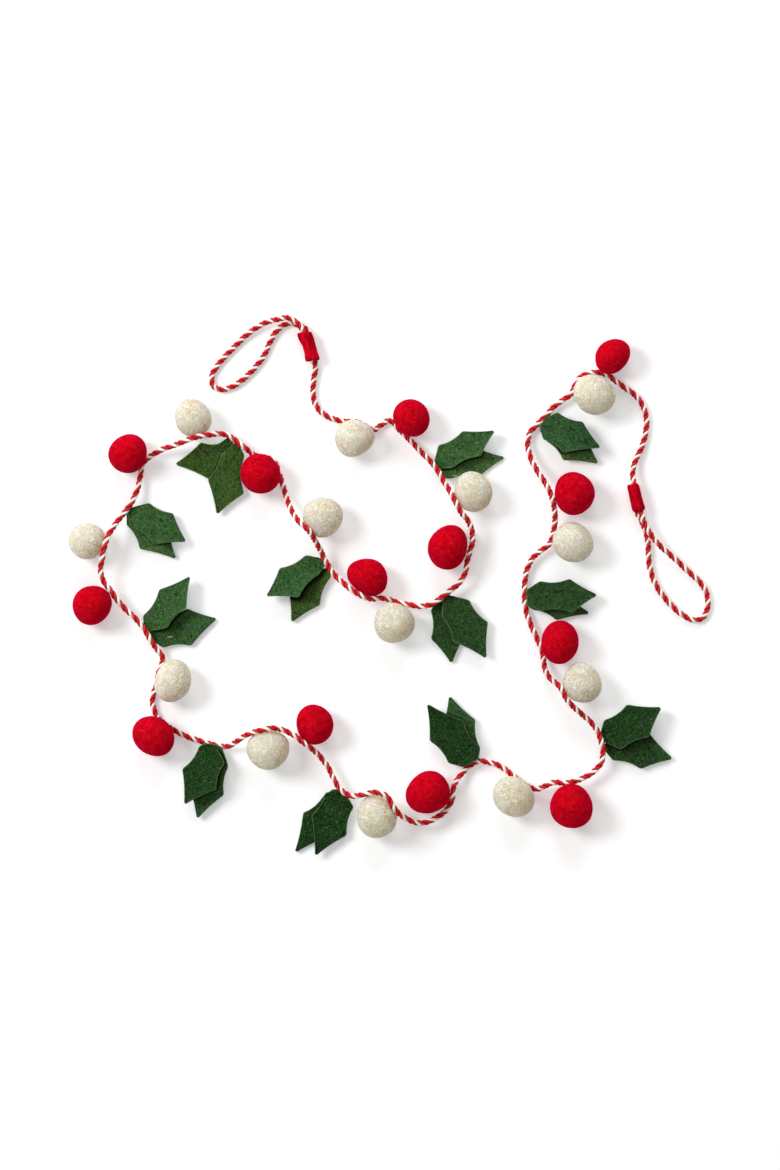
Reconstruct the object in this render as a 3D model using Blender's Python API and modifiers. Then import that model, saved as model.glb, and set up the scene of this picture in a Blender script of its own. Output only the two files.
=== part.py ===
"""Felt holly garland, laid out flat: a twisted cord with a hanging loop at each end,
wool felt balls sewn along it and pairs of felt holly leaves between them.

The layout tables are in picture units: x runs right and y runs down, as seen from above.
PICTURE_STEP turns them into metres. Sizes and heights are in metres or, in the tables,
in millimetres. +Z is up, z = 0 is the surface that the garland lies on.
"""
import math

import bmesh
import bpy
import numpy as np
from mathutils import Vector
from mathutils.bvhtree import BVHTree

MM = 0.001

# Layout
PICTURE_STEP = 0.625 * MM
PICTURE_CENTRE_X = 370.0
PICTURE_CENTRE_Y = 596.0

# Cord
CORD_RADIUS = 1.9 * MM
CORD_FINE_STEPS = 12
CORD_ERROR_AT_BALLS = 0.9 * MM
CORD_ERROR_FREE = 2.4 * MM
CORD_BALL_REACH = 3.0 * MM
CORD_SLEEVE_REACH = 7.0 * MM
CORD_BEVEL_RESOLUTION = 2

# Clearances
PIECE_GAP = 0.3 * MM
FLOOR_GAP = 0.1 * MM

# Felt sleeve that closes each hanging loop
SLEEVE_WALL = 1.2 * MM
SLEEVE_CHANNEL_RADIUS = CORD_RADIUS + 0.4 * MM
SLEEVE_CHANNEL_PITCH = 2 * CORD_RADIUS + 0.4 * MM
SLEEVE_TILT = math.radians(59)
SLEEVE_SIDES = 20
CORD_END_INSET = 1.0 * MM
CORD_MOUTH_REACH = 1.5 * MM

# Felt balls
BALL_SEGMENTS = 14
BALL_RINGS = 9
BALL_HEIGHT_SHARE = 0.97
BALL_FLAT_DEPTH = 0.975
BALL_FLAT_RADIUS = 0.22
BALL_LAST_RING = -0.93
BALL_POLE = -0.999
BALL_SEATING_ROUNDS = 8

# Felt leaves
LEAF_THICKNESS = 1.8 * MM
LEAF_COLUMNS = 4
LEAF_TIP_HALF_WIDTH = 0.7 * MM
LEAF_HOLLOW = 0.09
LEAF_TIP_HOLLOW = 0.03
LEAF_SPIKE_SHARE = 0.29
LEAF_RUN_UNDER = 1.9 * MM
PROBE_HEIGHT = 0.2
PROBE_SPACING = 0.8 * MM

# Sleeves: the middle of the upper and lower end in the picture, and the side, right (1)
# or left (-1), of the channel that lies higher above the surface.
SLEEVES = {
    # name: x_top, y_top, x_bottom, y_bottom, high_side
    "wrap_start": (305.0, 332.0, 312.5, 360.5, -1),
    "wrap_end": (632.5, 484.3, 639.0, 511.0, 1),
}

# Cord route: x and y in picture units, height of the cord's axis in millimetres.
START_LOOP = (
    (298.5, 324.5, 7.3), (293.0, 320.0, 7.6), (286.5, 317.8, 7.4), (278.3, 319.2, 6.4),
    (266.7, 322.0, 4.6), (255.0, 328.3, 3.2), (244.0, 336.7, 2.4), (235.0, 345.8, 2.0),
    (225.8, 355.0, 2.0), (217.5, 365.0, 2.0), (212.5, 373.0, 2.0), (211.3, 380.0, 2.0),
    (213.5, 386.0, 2.0), (219.0, 389.0, 2.0), (226.0, 388.6, 2.0), (233.3, 385.8, 2.0),
    (241.7, 380.0, 2.0), (250.0, 372.5, 2.0), (257.5, 364.0, 2.0), (264.0, 355.0, 2.0),
    (268.0, 346.0, 2.0), (271.8, 338.0, 2.0), (277.5, 329.5, 2.0), (285.0, 324.0, 2.1),
    (292.0, 322.6, 2.4), (298.5, 325.3, 2.9),
)
MAIN_RUN = (
    (315.3, 369.0, 2.6), (314.0, 377.0, 2.2), (313.0, 387.0, 2.0), (313.3, 396.7, 2.0),
    (315.8, 405.0, 2.0), (321.7, 412.5, 2.0), (330.0, 417.5, 2.0), (338.3, 420.0, 2.0),
    (346.0, 421.3, 2.0), (354.0, 421.3, 2.0), (362.0, 423.7, 2.0), (369.0, 428.3, 2.1),
    (374.5, 429.5, 2.3), (380.8, 425.0, 2.4), (388.3, 420.5, 2.6), (393.5, 422.5, 2.6),
    (397.0, 427.3, 2.5), (402.0, 432.0, 2.5), (408.3, 438.3, 3.0), (413.3, 443.3, 4.0),
    (421.7, 452.5, 6.0), (430.8, 461.7, 7.6), (438.3, 471.7, 8.4), (444.0, 482.0, 10.5),
    (450.2, 492.0, 14.0), (455.2, 502.0, 17.0), (461.0, 512.7, 17.0), (467.9, 521.3, 15.0),
    (471.7, 531.0, 13.0), (472.3, 541.5, 12.0), (470.0, 551.0, 11.5), (467.3, 560.0, 11.0),
    (466.0, 568.5, 10.5), (463.0, 577.5, 9.5), (456.5, 585.5, 8.6), (448.0, 592.3, 8.4),
    (440.0, 598.6, 8.4), (432.0, 604.0, 8.0), (422.7, 606.3, 7.5), (413.0, 605.3, 6.5),
    (403.5, 603.8, 5.9), (395.5, 602.0, 5.9), (388.0, 599.3, 8.0), (380.0, 598.3, 11.0),
    (372.5, 599.0, 14.0), (365.0, 597.3, 16.5), (357.0, 593.0, 17.0), (349.6, 588.0, 15.5),
    (340.0, 580.0, 12.0), (333.0, 573.0, 9.0), (326.7, 563.0, 8.4), (321.7, 553.0, 8.6),
    (317.0, 544.0, 13.0), (313.0, 536.7, 17.5), (308.3, 530.0, 20.3), (303.0, 525.3, 19.3),
    (297.0, 519.0, 16.5), (291.7, 510.0, 12.0), (287.5, 500.0, 7.5), (284.0, 489.0, 4.5),
    (281.5, 481.0, 3.0), (278.3, 471.5, 2.4), (276.5, 466.0, 2.2), (272.5, 460.5, 2.2),
    (266.5, 457.3, 2.4), (260.0, 456.6, 2.2), (253.5, 454.6, 4.4), (246.5, 449.0, 8.2),
    (240.0, 444.3, 9.4), (233.3, 438.8, 9.6), (226.7, 435.2, 10.4), (219.0, 434.2, 11.8),
    (210.0, 435.4, 14.5), (201.7, 436.4, 16.7), (193.3, 438.7, 17.0), (186.7, 440.8, 16.0),
    (180.0, 443.6, 13.5), (173.3, 445.8, 11.0), (163.3, 449.0, 7.5), (155.0, 453.3, 5.0),
    (148.3, 457.6, 3.8), (143.8, 461.8, 3.5), (141.3, 467.0, 3.5), (140.6, 473.0, 4.0),
    (139.5, 480.0, 5.0), (138.0, 487.5, 6.2), (135.0, 495.8, 7.4), (131.5, 503.0, 8.3),
    (126.7, 510.0, 8.5), (120.8, 517.5, 9.5), (115.0, 525.8, 12.5), (110.3, 533.5, 15.5),
    (107.0, 541.7, 17.0), (104.8, 550.0, 17.0), (103.2, 558.0, 15.5), (101.5, 566.7, 13.5),
    (101.9, 576.0, 12.0), (105.5, 583.5, 11.5), (110.5, 589.7, 11.0), (114.3, 595.5, 10.5),
    (118.5, 601.0, 10.0), (123.3, 606.7, 9.4), (131.5, 614.5, 8.8), (139.3, 622.3, 8.5),
    (145.7, 631.0, 8.4), (151.5, 641.5, 8.2), (158.3, 651.0, 6.0), (162.5, 658.0, 4.2),
    (161.0, 666.0, 2.8), (158.3, 673.0, 2.3), (157.0, 680.0, 2.2), (155.8, 686.5, 2.3),
    (153.7, 692.0, 2.5), (152.4, 698.5, 2.3), (152.6, 705.4, 2.2), (154.6, 712.0, 2.2),
    (157.7, 718.0, 2.2), (161.0, 722.0, 2.2), (166.5, 725.5, 2.2), (171.0, 729.0, 2.3),
    (175.4, 731.0, 2.4), (183.0, 735.2, 2.6), (193.8, 739.2, 2.6), (203.0, 742.0, 2.6),
    (211.0, 744.3, 2.7), (218.5, 745.8, 3.2), (226.0, 746.6, 5.2), (233.8, 743.3, 9.0),
    (242.0, 737.3, 14.0), (250.8, 732.6, 17.8), (260.0, 729.9, 20.0), (269.0, 727.9, 20.5),
    (275.5, 727.6, 19.3), (283.0, 729.3, 17.5), (290.8, 732.8, 16.8), (297.0, 736.3, 17.5),
    (302.0, 740.8, 17.5), (308.0, 745.0, 16.0), (313.0, 749.3, 13.5), (318.2, 754.2, 11.0),
    (325.0, 762.5, 9.2), (330.0, 770.5, 8.6), (333.8, 778.7, 8.4), (338.0, 786.0, 8.4),
    (343.7, 792.0, 8.6), (350.5, 795.4, 10.0), (358.0, 795.0, 14.0), (367.4, 792.6, 18.0),
    (377.3, 791.4, 19.5), (385.0, 794.0, 20.0), (390.3, 800.0, 19.5), (394.0, 807.0, 18.5),
    (399.0, 813.0, 15.5), (405.7, 817.8, 12.5), (414.0, 821.7, 10.3), (421.5, 822.9, 9.6),
    (429.5, 820.9, 9.2), (436.6, 817.2, 9.2), (443.0, 812.8, 9.4), (448.3, 807.0, 9.6),
    (452.0, 799.0, 9.6), (453.2, 791.4, 9.0), (453.8, 785.5, 7.8), (457.7, 779.3, 6.0),
    (463.0, 772.3, 4.4), (469.5, 766.3, 3.4), (477.5, 761.4, 3.0), (484.5, 761.6, 2.8),
    (491.6, 763.2, 2.7), (499.0, 765.6, 2.6), (505.0, 769.5, 2.6), (510.0, 773.5, 2.3),
    (515.5, 778.0, 2.2), (521.0, 781.8, 2.2), (526.5, 786.0, 2.3), (532.0, 788.3, 3.0),
    (538.0, 789.0, 4.5), (545.0, 786.0, 6.5), (551.0, 782.9, 8.0), (557.5, 782.2, 8.8),
    (564.5, 783.0, 9.0), (572.0, 781.8, 9.0), (580.0, 779.2, 8.8), (588.5, 775.0, 8.6),
    (595.5, 769.6, 8.5), (601.0, 762.5, 8.4), (602.9, 753.5, 8.4), (602.2, 745.8, 8.4),
    (600.3, 738.7, 8.4), (597.6, 731.7, 8.4), (593.8, 725.7, 8.8), (588.5, 720.0, 9.6),
    (581.4, 714.0, 11.5), (574.0, 707.6, 14.0), (567.6, 700.8, 15.5), (563.2, 693.6, 16.0),
    (559.9, 687.0, 15.5), (554.6, 682.0, 13.0), (549.0, 677.0, 10.0), (545.3, 669.6, 7.5),
    (543.7, 661.5, 5.5), (543.0, 654.5, 4.8), (541.0, 647.5, 4.6), (537.7, 640.0, 4.6),
    (533.5, 630.5, 4.0), (529.8, 622.0, 3.4), (526.6, 612.0, 3.0), (525.0, 602.0, 2.8),
    (524.6, 592.0, 2.8), (525.0, 582.0, 3.0), (526.2, 573.0, 3.4), (530.0, 562.6, 4.0),
    (536.0, 554.5, 4.6), (543.5, 549.0, 5.0), (549.5, 544.0, 5.0), (552.4, 537.0, 5.4),
    (554.0, 529.0, 6.5), (554.8, 520.5, 8.8), (554.3, 511.0, 12.0), (552.9, 503.0, 14.0),
    (550.7, 495.0, 14.8), (547.5, 488.0, 14.0), (543.7, 481.0, 12.5), (538.0, 472.5, 10.3),
    (532.8, 463.0, 7.8), (529.0, 452.0, 5.4), (527.8, 441.3, 3.8), (530.8, 431.4, 3.0),
    (536.8, 424.9, 2.8), (547.0, 414.5, 3.0), (555.7, 405.0, 3.6), (565.0, 398.7, 4.1),
    (571.5, 393.5, 4.4), (574.5, 386.5, 4.2), (578.5, 379.0, 4.3), (585.5, 374.3, 4.5),
    (593.4, 372.6, 4.6), (602.0, 373.0, 4.4), (609.3, 376.0, 4.0), (615.5, 380.7, 3.5),
    (625.2, 387.7, 2.6), (635.2, 394.8, 2.2), (642.0, 403.6, 2.0), (646.0, 413.5, 2.0),
    (647.0, 423.4, 2.0), (645.0, 437.4, 2.1), (641.0, 449.3, 2.8), (635.5, 461.2, 4.2),
    (632.8, 472.0, 5.6),
)
END_LOOP = (
    (643.5, 521.5, 7.2), (647.3, 529.0, 7.2), (652.0, 536.3, 7.0), (659.0, 544.7, 6.0),
    (669.0, 553.7, 4.5), (677.0, 560.6, 3.4), (686.9, 570.0, 2.5), (696.8, 578.8, 2.1),
    (704.3, 587.5, 2.0), (707.9, 597.0, 2.0), (707.8, 608.3, 2.0), (704.3, 616.3, 2.0),
    (697.0, 620.3, 2.0), (687.0, 617.5, 2.0), (677.0, 610.5, 2.0), (669.0, 602.5, 2.0),
    (661.0, 592.6, 2.0), (655.0, 582.5, 2.0), (651.0, 570.8, 2.0), (649.0, 560.0, 2.0),
    (648.7, 549.0, 2.0), (647.8, 539.0, 2.1), (645.3, 529.5, 2.4), (641.5, 520.5, 2.9),
)

# Balls in their order along the cord: centre in picture units, long and short width in
# millimetres, and the long width's turn from the picture's right, in degrees, upward.
# corner is how far the outline swells, in hundredths, toward three sides, and corner_turn
# the way to the first of them.
BALLS = {
    # name: x, y, length, width, turn, corner, corner_turn
    "ball_cream_01": (354.0, 437.0, 25.0, 23.0, 20, 3.5, 10),
    "ball_red_01": (411.0, 418.5, 24.2, 22.2, -55, 0.5, 50),
    "ball_cream_02": (472.0, 492.5, 25.8, 23.2, -70, 1.5, 0),
    "ball_red_02": (448.0, 547.5, 28.4, 24.4, 70, 2.5, 55),
    "ball_cream_03": (393.5, 623.5, 25.4, 25.0, -5, 2.5, -5),
    "ball_red_03": (368.0, 577.5, 26.4, 22.2, -30, 3.5, 50),
    "ball_cream_04": (322.5, 516.5, 25.2, 25.0, 70, 2.5, 25),
    "ball_red_04": (260.5, 473.5, 25.6, 24.6, -40, 1.0, -15),
    "ball_cream_05": (193.0, 419.0, 24.4, 22.4, -60, 2.5, -10),
    "ball_red_05": (128.0, 453.5, 25.0, 23.6, 50, 2.0, -60),
    "ball_cream_06": (88.0, 541.0, 23.2, 22.8, 15, 1.0, 35),
    "ball_red_06": (93.0, 604.0, 25.4, 23.8, 50, 2.0, 25),
    "ball_cream_07": (173.5, 681.0, 27.4, 22.4, 70, 1.5, -25),
    "ball_red_07": (153.5, 736.5, 27.6, 23.8, -35, 1.0, -55),
    "ball_cream_08": (268.5, 748.5, 26.8, 25.2, 5, 2.0, 35),
    "ball_red_08": (314.5, 724.5, 25.2, 23.0, -75, 1.5, 5),
    "ball_cream_09": (375.0, 817.0, 27.6, 24.6, -75, 3.5, -10),
    "ball_red_09": (429.0, 793.0, 28.2, 25.6, 40, 2.5, -40),
    "ball_cream_10": (513.5, 796.0, 27.4, 24.2, -40, 1.0, -35),
    "ball_red_10": (571.0, 806.0, 28.0, 26.6, -70, 2.0, -35),
    "ball_cream_11": (581.0, 683.5, 25.8, 23.4, -60, 2.0, -25),
    "ball_red_11": (560.0, 642.0, 27.4, 23.4, 85, 0.5, 0),
    "ball_cream_12": (571.5, 542.5, 26.2, 24.4, -40, 1.5, -25),
    "ball_red_12": (573.0, 493.5, 27.0, 25.0, -85, 2.5, 5),
    "ball_cream_13": (593.5, 394.5, 26.8, 24.4, -35, 1.0, 10),
    "ball_red_13": (612.0, 356.0, 23.8, 20.0, 45, 2.0, 25),
}

# Leaves, in pairs along the cord. Points are in picture units, round each outline as far
# as it shows beside the cord; side a is on the left when looking from the base to the tip
# in the picture, side b on the right. Each side has a corner at the cord, a near corner
# and a spike at its widest. rise is the tip's height over the base and tilt the lift of
# side b at the spike, in millimetres. hold says whether the base lies under or over the
# cord.
LEAF_COLUMN_NAMES = (
    "hold", "base_a", "near_a", "spike_a", "tip", "spike_b", "near_b", "base_b",
    "rise", "tilt",
)
LEAVES = {
    "leaf_01_upper": ("under", (434, 463.5), (438.5, 445), (462.5, 431), (493.5, 431.5),
                      (480.5, 456.5), (453, 468), (438, 468.5), 1.5, 2.2),
    "leaf_01_lower": ("under", (440, 470), (450, 455), (474, 446.5), (503.5, 457.5),
                      (481.5, 474.5), (452, 478.5), (444, 478), -1.2, 0.0),
    "leaf_02_upper": ("under", (450.5, 595.5), (469.5, 600), (488, 622), (485.5, 657),
                      (453, 641.5), (441.5, 617), (443.5, 598.5), 0.5, 1.0),
    "leaf_02_lower": ("under", (444, 600), (460, 604), (468.5, 630), (451.5, 662),
                      (431, 638.7), (430.8, 610.8), (434.5, 604), -1.2, 0.0),
    "leaf_03_upper": ("under", (325, 565), (319, 574.5), (299, 597.5), (267.5, 595.5),
                      (279.5, 568), (305.5, 555), (322.5, 558.5), 1.5, -2.6),
    "leaf_03_lower": ("under", (331, 574), (330.5, 577.5), (320, 605), (292, 621),
                      (288.5, 590), (305, 572), (325, 568.5), -1.2, 0.0),
    "leaf_04_upper": ("under", (240, 446), (244.5, 456), (244, 493.5), (217.5, 513),
                      (207.5, 479), (221, 454.5), (233, 444.5), -1.0, 0.6),
    "leaf_04_lower": ("under", (233, 444), (232, 458), (208.5, 479), (176.2, 464),
                      (200.8, 442), (219, 443.5), (226, 438.5), -1.5, 0.0),
    "leaf_05_upper": ("under", (133.5, 507), (149, 502.7), (173, 513), (185, 541),
                      (154, 545), (129.5, 526), (128, 513), 1.0, 1.8),
    "leaf_05_lower": ("under", (128, 512), (150, 512), (168.5, 528), (174.5, 557.5),
                      (139.5, 549), (126.5, 525), (126.5, 519), -1.2, 0.0),
    "leaf_06_upper": ("under", (143.5, 625), (143, 615.5), (159, 589.5), (189.5, 577.5),
                      (186.8, 608.5), (167.5, 628), (149, 631.5), 1.5, 2.4),
    "leaf_06_lower": ("under", (148.5, 633), (160, 616), (187, 608.5), (215.3, 619),
                      (191, 646), (163.5, 648), (151.5, 640.5), -1.2, 0.0),
    "leaf_07_upper": ("over", (215, 744), (225.3, 762.7), (216.7, 789), (185.5, 803),
                      (182.3, 768.7), (199, 746.8), (205, 743), 0.5, -1.8),
    "leaf_07_lower": ("over", (222, 747), (228.5, 766.5), (224, 795), (197.5, 817.5),
                      (188, 783), (200, 757), (215.5, 744), -3.0, 0.0),
    "leaf_08_upper": ("under", (345.5, 794), (353.8, 807), (346.7, 835.5), (316, 854.5),
                      (311.3, 815), (325, 793), (336, 790), -0.5, 0.8),
    "leaf_08_lower": ("under", (340, 792), (343, 808), (329, 837), (296, 851.5),
                      (303, 813), (323, 796.5), (330, 791.5), -1.2, 0.0),
    "leaf_09_upper": ("over", (463, 767), (448.3, 763), (429.7, 741), (428, 705),
                      (463.5, 720.3), (476, 743), (472.5, 763), 0.5, 1.8),
    "leaf_09_lower": ("over", (475, 761), (458, 755), (441, 733), (450, 697.5),
                      (475.6, 720), (480.3, 748), (478.5, 758.5), -3.0, 0.0),
    "leaf_10_upper": ("under", (601, 731.5), (604.3, 720), (627, 704.5), (660, 708),
                      (648.5, 737), (621, 749.5), (604, 742), 1.5, 2.2),
    "leaf_10_lower": ("under", (604, 745), (618, 731), (645, 727), (671.5, 758.5),
                      (641, 769.3), (613.3, 760.7), (606, 752), -1.2, 0.0),
    "leaf_11_upper": ("over", (526.5, 590), (540, 581), (569.5, 578.7), (595.7, 595),
                      (572, 613), (541, 611), (526.5, 603), 0.0, 0.8),
    "leaf_11_lower": ("over", (527, 598), (541, 589), (563, 591), (588.3, 613),
                      (556.5, 620.3), (534, 610), (527.5, 606), -3.0, 0.0),
    "leaf_12_upper": ("over", (543, 419.5), (557.5, 412), (582.5, 421.7), (599, 447.3),
                      (563, 453.3), (543, 439.7), (539.5, 426.5), 1.0, 1.8),
    "leaf_12_lower": ("over", (541, 423), (560, 420), (586, 433), (597.2, 462.5),
                      (563.3, 460.3), (547, 441.5), (540, 431), -3.0, 0.0),
}

# Colours: red, green and blue in linear light, and roughness.
COLOURS = {
    "felt_red": (0.50, 0.004, 0.012, 0.95),
    "felt_cream": (0.76, 0.69, 0.53, 0.95),
    "felt_green": (0.020, 0.085, 0.026, 0.95),
    "cord_red": (0.52, 0.012, 0.014, 0.55),
}


def clear_scene():
    for thing in list(bpy.data.objects):
        bpy.data.objects.remove(thing, do_unlink=True)


def plan_point(x, y):
    """A picture point as a point on the surface, in metres."""
    return Vector((
        (x - PICTURE_CENTRE_X) * PICTURE_STEP,
        (PICTURE_CENTRE_Y - y) * PICTURE_STEP,
        0.0,
    ))


def make_materials():
    made = {}
    for name, (red, green, blue, roughness) in COLOURS.items():
        material = bpy.data.materials.new(name)
        material.use_nodes = True
        shader = material.node_tree.nodes["Principled BSDF"]
        shader.inputs["Base Color"].default_value = (red, green, blue, 1.0)
        shader.inputs["Roughness"].default_value = roughness
        shader.inputs["Metallic"].default_value = 0.0
        made[name] = material
    return made


def add_object(name, data, material, collection):
    thing = bpy.data.objects.new(name, data)
    data.materials.append(material)
    collection.objects.link(thing)
    return thing


# Sleeves

def sleeve_frame(name):
    """Middle, direction down the picture, direction to its right, and length."""
    x_top, y_top, x_bottom, y_bottom, high_side = SLEEVES[name]
    top = plan_point(x_top, y_top)
    bottom = plan_point(x_bottom, y_bottom)
    along = (bottom - top).normalized()
    right = Vector((-along.y, along.x, 0.0))
    outer_radius = SLEEVE_CHANNEL_RADIUS + SLEEVE_WALL
    centre = (top + bottom) / 2
    centre.z = FLOOR_GAP + outer_radius + SLEEVE_CHANNEL_PITCH / 2 * math.sin(SLEEVE_TILT)
    return centre, along, right, (bottom - top).length, high_side


def channel_offset(name, high):
    """From the sleeve's middle line to the middle of its high or low channel."""
    _, _, right, _, high_side = sleeve_frame(name)
    way = 1 if high else -1
    sideways = right * (way * high_side * math.cos(SLEEVE_TILT))
    upward = Vector((0.0, 0.0, way * math.sin(SLEEVE_TILT)))
    return (sideways + upward) * (SLEEVE_CHANNEL_PITCH / 2)


def channel_points(name, high, top_reach, bottom_reach):
    """Three points of a cord leg in a channel, from the sleeve's top to its bottom."""
    centre, along, _, length, _ = sleeve_frame(name)
    middle = centre + channel_offset(name, high)
    top = middle - along * (length / 2 + top_reach)
    bottom = middle + along * (length / 2 + bottom_reach)
    return [top, middle, bottom]


def build_sleeve(name, material, collection):
    """A felt tube of rounded oblong section round two cord legs, open at both ends."""
    centre, along, right, length, _ = sleeve_frame(name)
    toward_high = channel_offset(name, True).normalized()
    across = along.cross(toward_high)
    mesh = bmesh.new()
    bmesh.ops.create_circle(mesh, segments=SLEEVE_SIDES, radius=1.0)
    for vertex in mesh.verts:
        side_way = vertex.co.x
        high_way = vertex.co.y
        stretch = math.copysign(SLEEVE_CHANNEL_PITCH / 2, high_way)
        if abs(high_way) < 1e-6:
            stretch = 0.0
        section = across * (side_way * SLEEVE_CHANNEL_RADIUS)
        section += toward_high * (high_way * SLEEVE_CHANNEL_RADIUS + stretch)
        vertex.co = section - along * (length / 2)
    run = bmesh.ops.extrude_edge_only(mesh, edges=mesh.edges[:])
    moved = [item for item in run["geom"] if isinstance(item, bmesh.types.BMVert)]
    bmesh.ops.translate(mesh, verts=moved, vec=along * length)
    bmesh.ops.recalc_face_normals(mesh, faces=mesh.faces[:])
    turn_outward(mesh, along)
    data = bpy.data.meshes.new(name)
    mesh.to_mesh(data)
    mesh.free()
    thing = add_object(name, data, material, collection)
    thing.location = centre
    wall = thing.modifiers.new("felt wall", "SOLIDIFY")
    wall.thickness = SLEEVE_WALL
    wall.offset = 1.0
    return thing


def turn_outward(mesh, along):
    """Flip an open tube's faces where they look at its middle line."""
    face = next(iter(mesh.faces))
    middle = face.calc_center_median()
    outward = middle - along * middle.dot(along)
    face.normal_update()
    if face.normal.dot(outward) < 0:
        bmesh.ops.reverse_faces(mesh, faces=mesh.faces[:])


# Cord

def route_points():
    """The cord's hand-set route from end to end, with its two legs in each sleeve."""
    first = channel_points("wrap_start", True, CORD_MOUTH_REACH, -CORD_END_INSET)[::-1]
    loop_start = [route_point(row) for row in START_LOOP]
    second = channel_points("wrap_start", False, CORD_MOUTH_REACH, CORD_MOUTH_REACH)
    main = [route_point(row) for row in MAIN_RUN]
    third = channel_points("wrap_end", True, CORD_MOUTH_REACH, CORD_MOUTH_REACH)
    loop_end = [route_point(row) for row in END_LOOP]
    last = channel_points("wrap_end", False, -CORD_END_INSET, CORD_MOUTH_REACH)[::-1]
    straight = first + second + third + last
    route = first + loop_start + second + main + third + loop_end + last
    kept = [point in straight for point in route]
    return route, kept


def route_point(row):
    x, y, height = row
    point = plan_point(x, y)
    point.z = height * MM
    return point


def smooth_run(points, steps):
    """A centripetal Catmull-Rom curve: its samples and, for each, the route point it is on."""
    ends = [2 * points[0] - points[1]] + list(points) + [2 * points[-1] - points[-2]]
    samples = []
    owners = []
    for index in range(len(points) - 1):
        a, b, c, d = ends[index:index + 4]
        t_b = math.sqrt((b - a).length)
        t_c = t_b + math.sqrt((c - b).length)
        t_d = t_c + math.sqrt((d - c).length)
        for step in range(steps):
            t = t_b + (t_c - t_b) * step / steps
            ab = a.lerp(b, t / t_b)
            bc = b.lerp(c, (t - t_b) / (t_c - t_b))
            cd = c.lerp(d, (t - t_c) / (t_d - t_c))
            abc = ab.lerp(bc, t / t_c)
            bcd = bc.lerp(cd, (t - t_b) / (t_d - t_b))
            samples.append(abc.lerp(bcd, (t - t_b) / (t_c - t_b)))
            owners.append(index if step == 0 else None)
    samples.append(points[-1].copy())
    owners.append(len(points) - 1)
    return samples, owners


def allowed_error(sample):
    """How far the solid may pass from a point of the curve: less at a ball or a sleeve."""
    for x, y, length, width, *_ in BALLS.values():
        centre = plan_point(x, y)
        radius = (length + width) / 4 * MM
        centre.z = radius
        if (sample - centre).length - radius < CORD_BALL_REACH:
            return CORD_ERROR_AT_BALLS
    for name in SLEEVES:
        centre, _, _, length, _ = sleeve_frame(name)
        if (sample - centre).length - length / 2 < CORD_SLEEVE_REACH:
            return CORD_ERROR_AT_BALLS
    return CORD_ERROR_FREE


def thin_run(samples, first, last, allowed):
    """Indices between first and last whose chords stay within each sample's allowed error."""
    chord = samples[last] - samples[first]
    worst = 1.0
    worst_index = None
    for index in range(first + 1, last):
        offset = samples[index] - samples[first]
        share = max(0.0, min(1.0, offset.dot(chord) / chord.length_squared))
        excess = (offset - chord * share).length / allowed[index]
        if excess > worst:
            worst = excess
            worst_index = index
    if worst_index is None:
        return [first]
    before = thin_run(samples, first, worst_index, allowed)
    return before + thin_run(samples, worst_index, last, allowed)


def cord_path():
    """The points of the cord's solid, read from the smooth curve through its route."""
    route, kept = route_points()
    samples, owners = smooth_run(route, CORD_FINE_STEPS)
    stops = [i for i, owner in enumerate(owners) if owner is not None and kept[owner]]
    allowed = [allowed_error(sample) for sample in samples]
    chosen = []
    for first, last in zip(stops, stops[1:]):
        chosen += thin_run(samples, first, last, allowed)
    chosen.append(stops[-1])
    return [samples[index] for index in chosen]


def build_cord(path, material, collection):
    curve = bpy.data.curves.new("cord", "CURVE")
    curve.dimensions = "3D"
    curve.bevel_depth = CORD_RADIUS
    curve.bevel_resolution = CORD_BEVEL_RESOLUTION
    curve.use_fill_caps = True
    spline = curve.splines.new("POLY")
    spline.points.add(len(path) - 1)
    for point, place in zip(spline.points, path):
        point.co = (place.x, place.y, place.z, 1.0)
    return add_object("cord", curve, material, collection)


# Balls

def ball_mesh(name, length, width, turn, corner, corner_turn):
    """A felt ball, slightly oval and cornered, with a small flat spot under it."""
    height = (length + width) / 2 * BALL_HEIGHT_SHARE
    mesh = bmesh.new()
    bmesh.ops.create_uvsphere(mesh, u_segments=BALL_SEGMENTS, v_segments=BALL_RINGS, radius=1.0)
    poles = [vertex for vertex in mesh.verts if vertex.co.z < BALL_POLE]
    bmesh.ops.dissolve_verts(mesh, verts=poles)
    for vertex in mesh.verts:
        if vertex.co.z < BALL_LAST_RING:
            ring = Vector((vertex.co.x, vertex.co.y, 0.0)).normalized() * BALL_FLAT_RADIUS
            vertex.co = (ring.x, ring.y, -BALL_FLAT_DEPTH)
    angle = math.radians(turn)
    for vertex in mesh.verts:
        long_way = vertex.co.x * length / 2
        short_way = vertex.co.y * width / 2
        right = long_way * math.cos(angle) - short_way * math.sin(angle)
        up = long_way * math.sin(angle) + short_way * math.cos(angle)
        way = math.atan2(up, right) - math.radians(corner_turn)
        swell = 1 + corner / 100 * math.cos(3 * way)
        vertex.co = (right * swell, up * swell, vertex.co.z * height / 2)
    data = bpy.data.meshes.new(name)
    mesh.to_mesh(data)
    mesh.free()
    return data, height / 2 * BALL_FLAT_DEPTH


def nearest_on_path(points, path):
    """For a set of points, the smallest distance to the path and where it is."""
    starts = np.array(path[:-1])
    runs = np.array(path[1:]) - starts
    best = None
    for point in points:
        offsets = np.array(point) - starts
        shares = np.clip((offsets * runs).sum(1) / (runs * runs).sum(1), 0.0, 1.0)
        feet = starts + runs * shares[:, None]
        distances = np.linalg.norm(np.array(point) - feet, axis=1)
        index = int(distances.argmin())
        if best is None or distances[index] < best[0]:
            best = (float(distances[index]), Vector(feet[index]))
    return best


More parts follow.
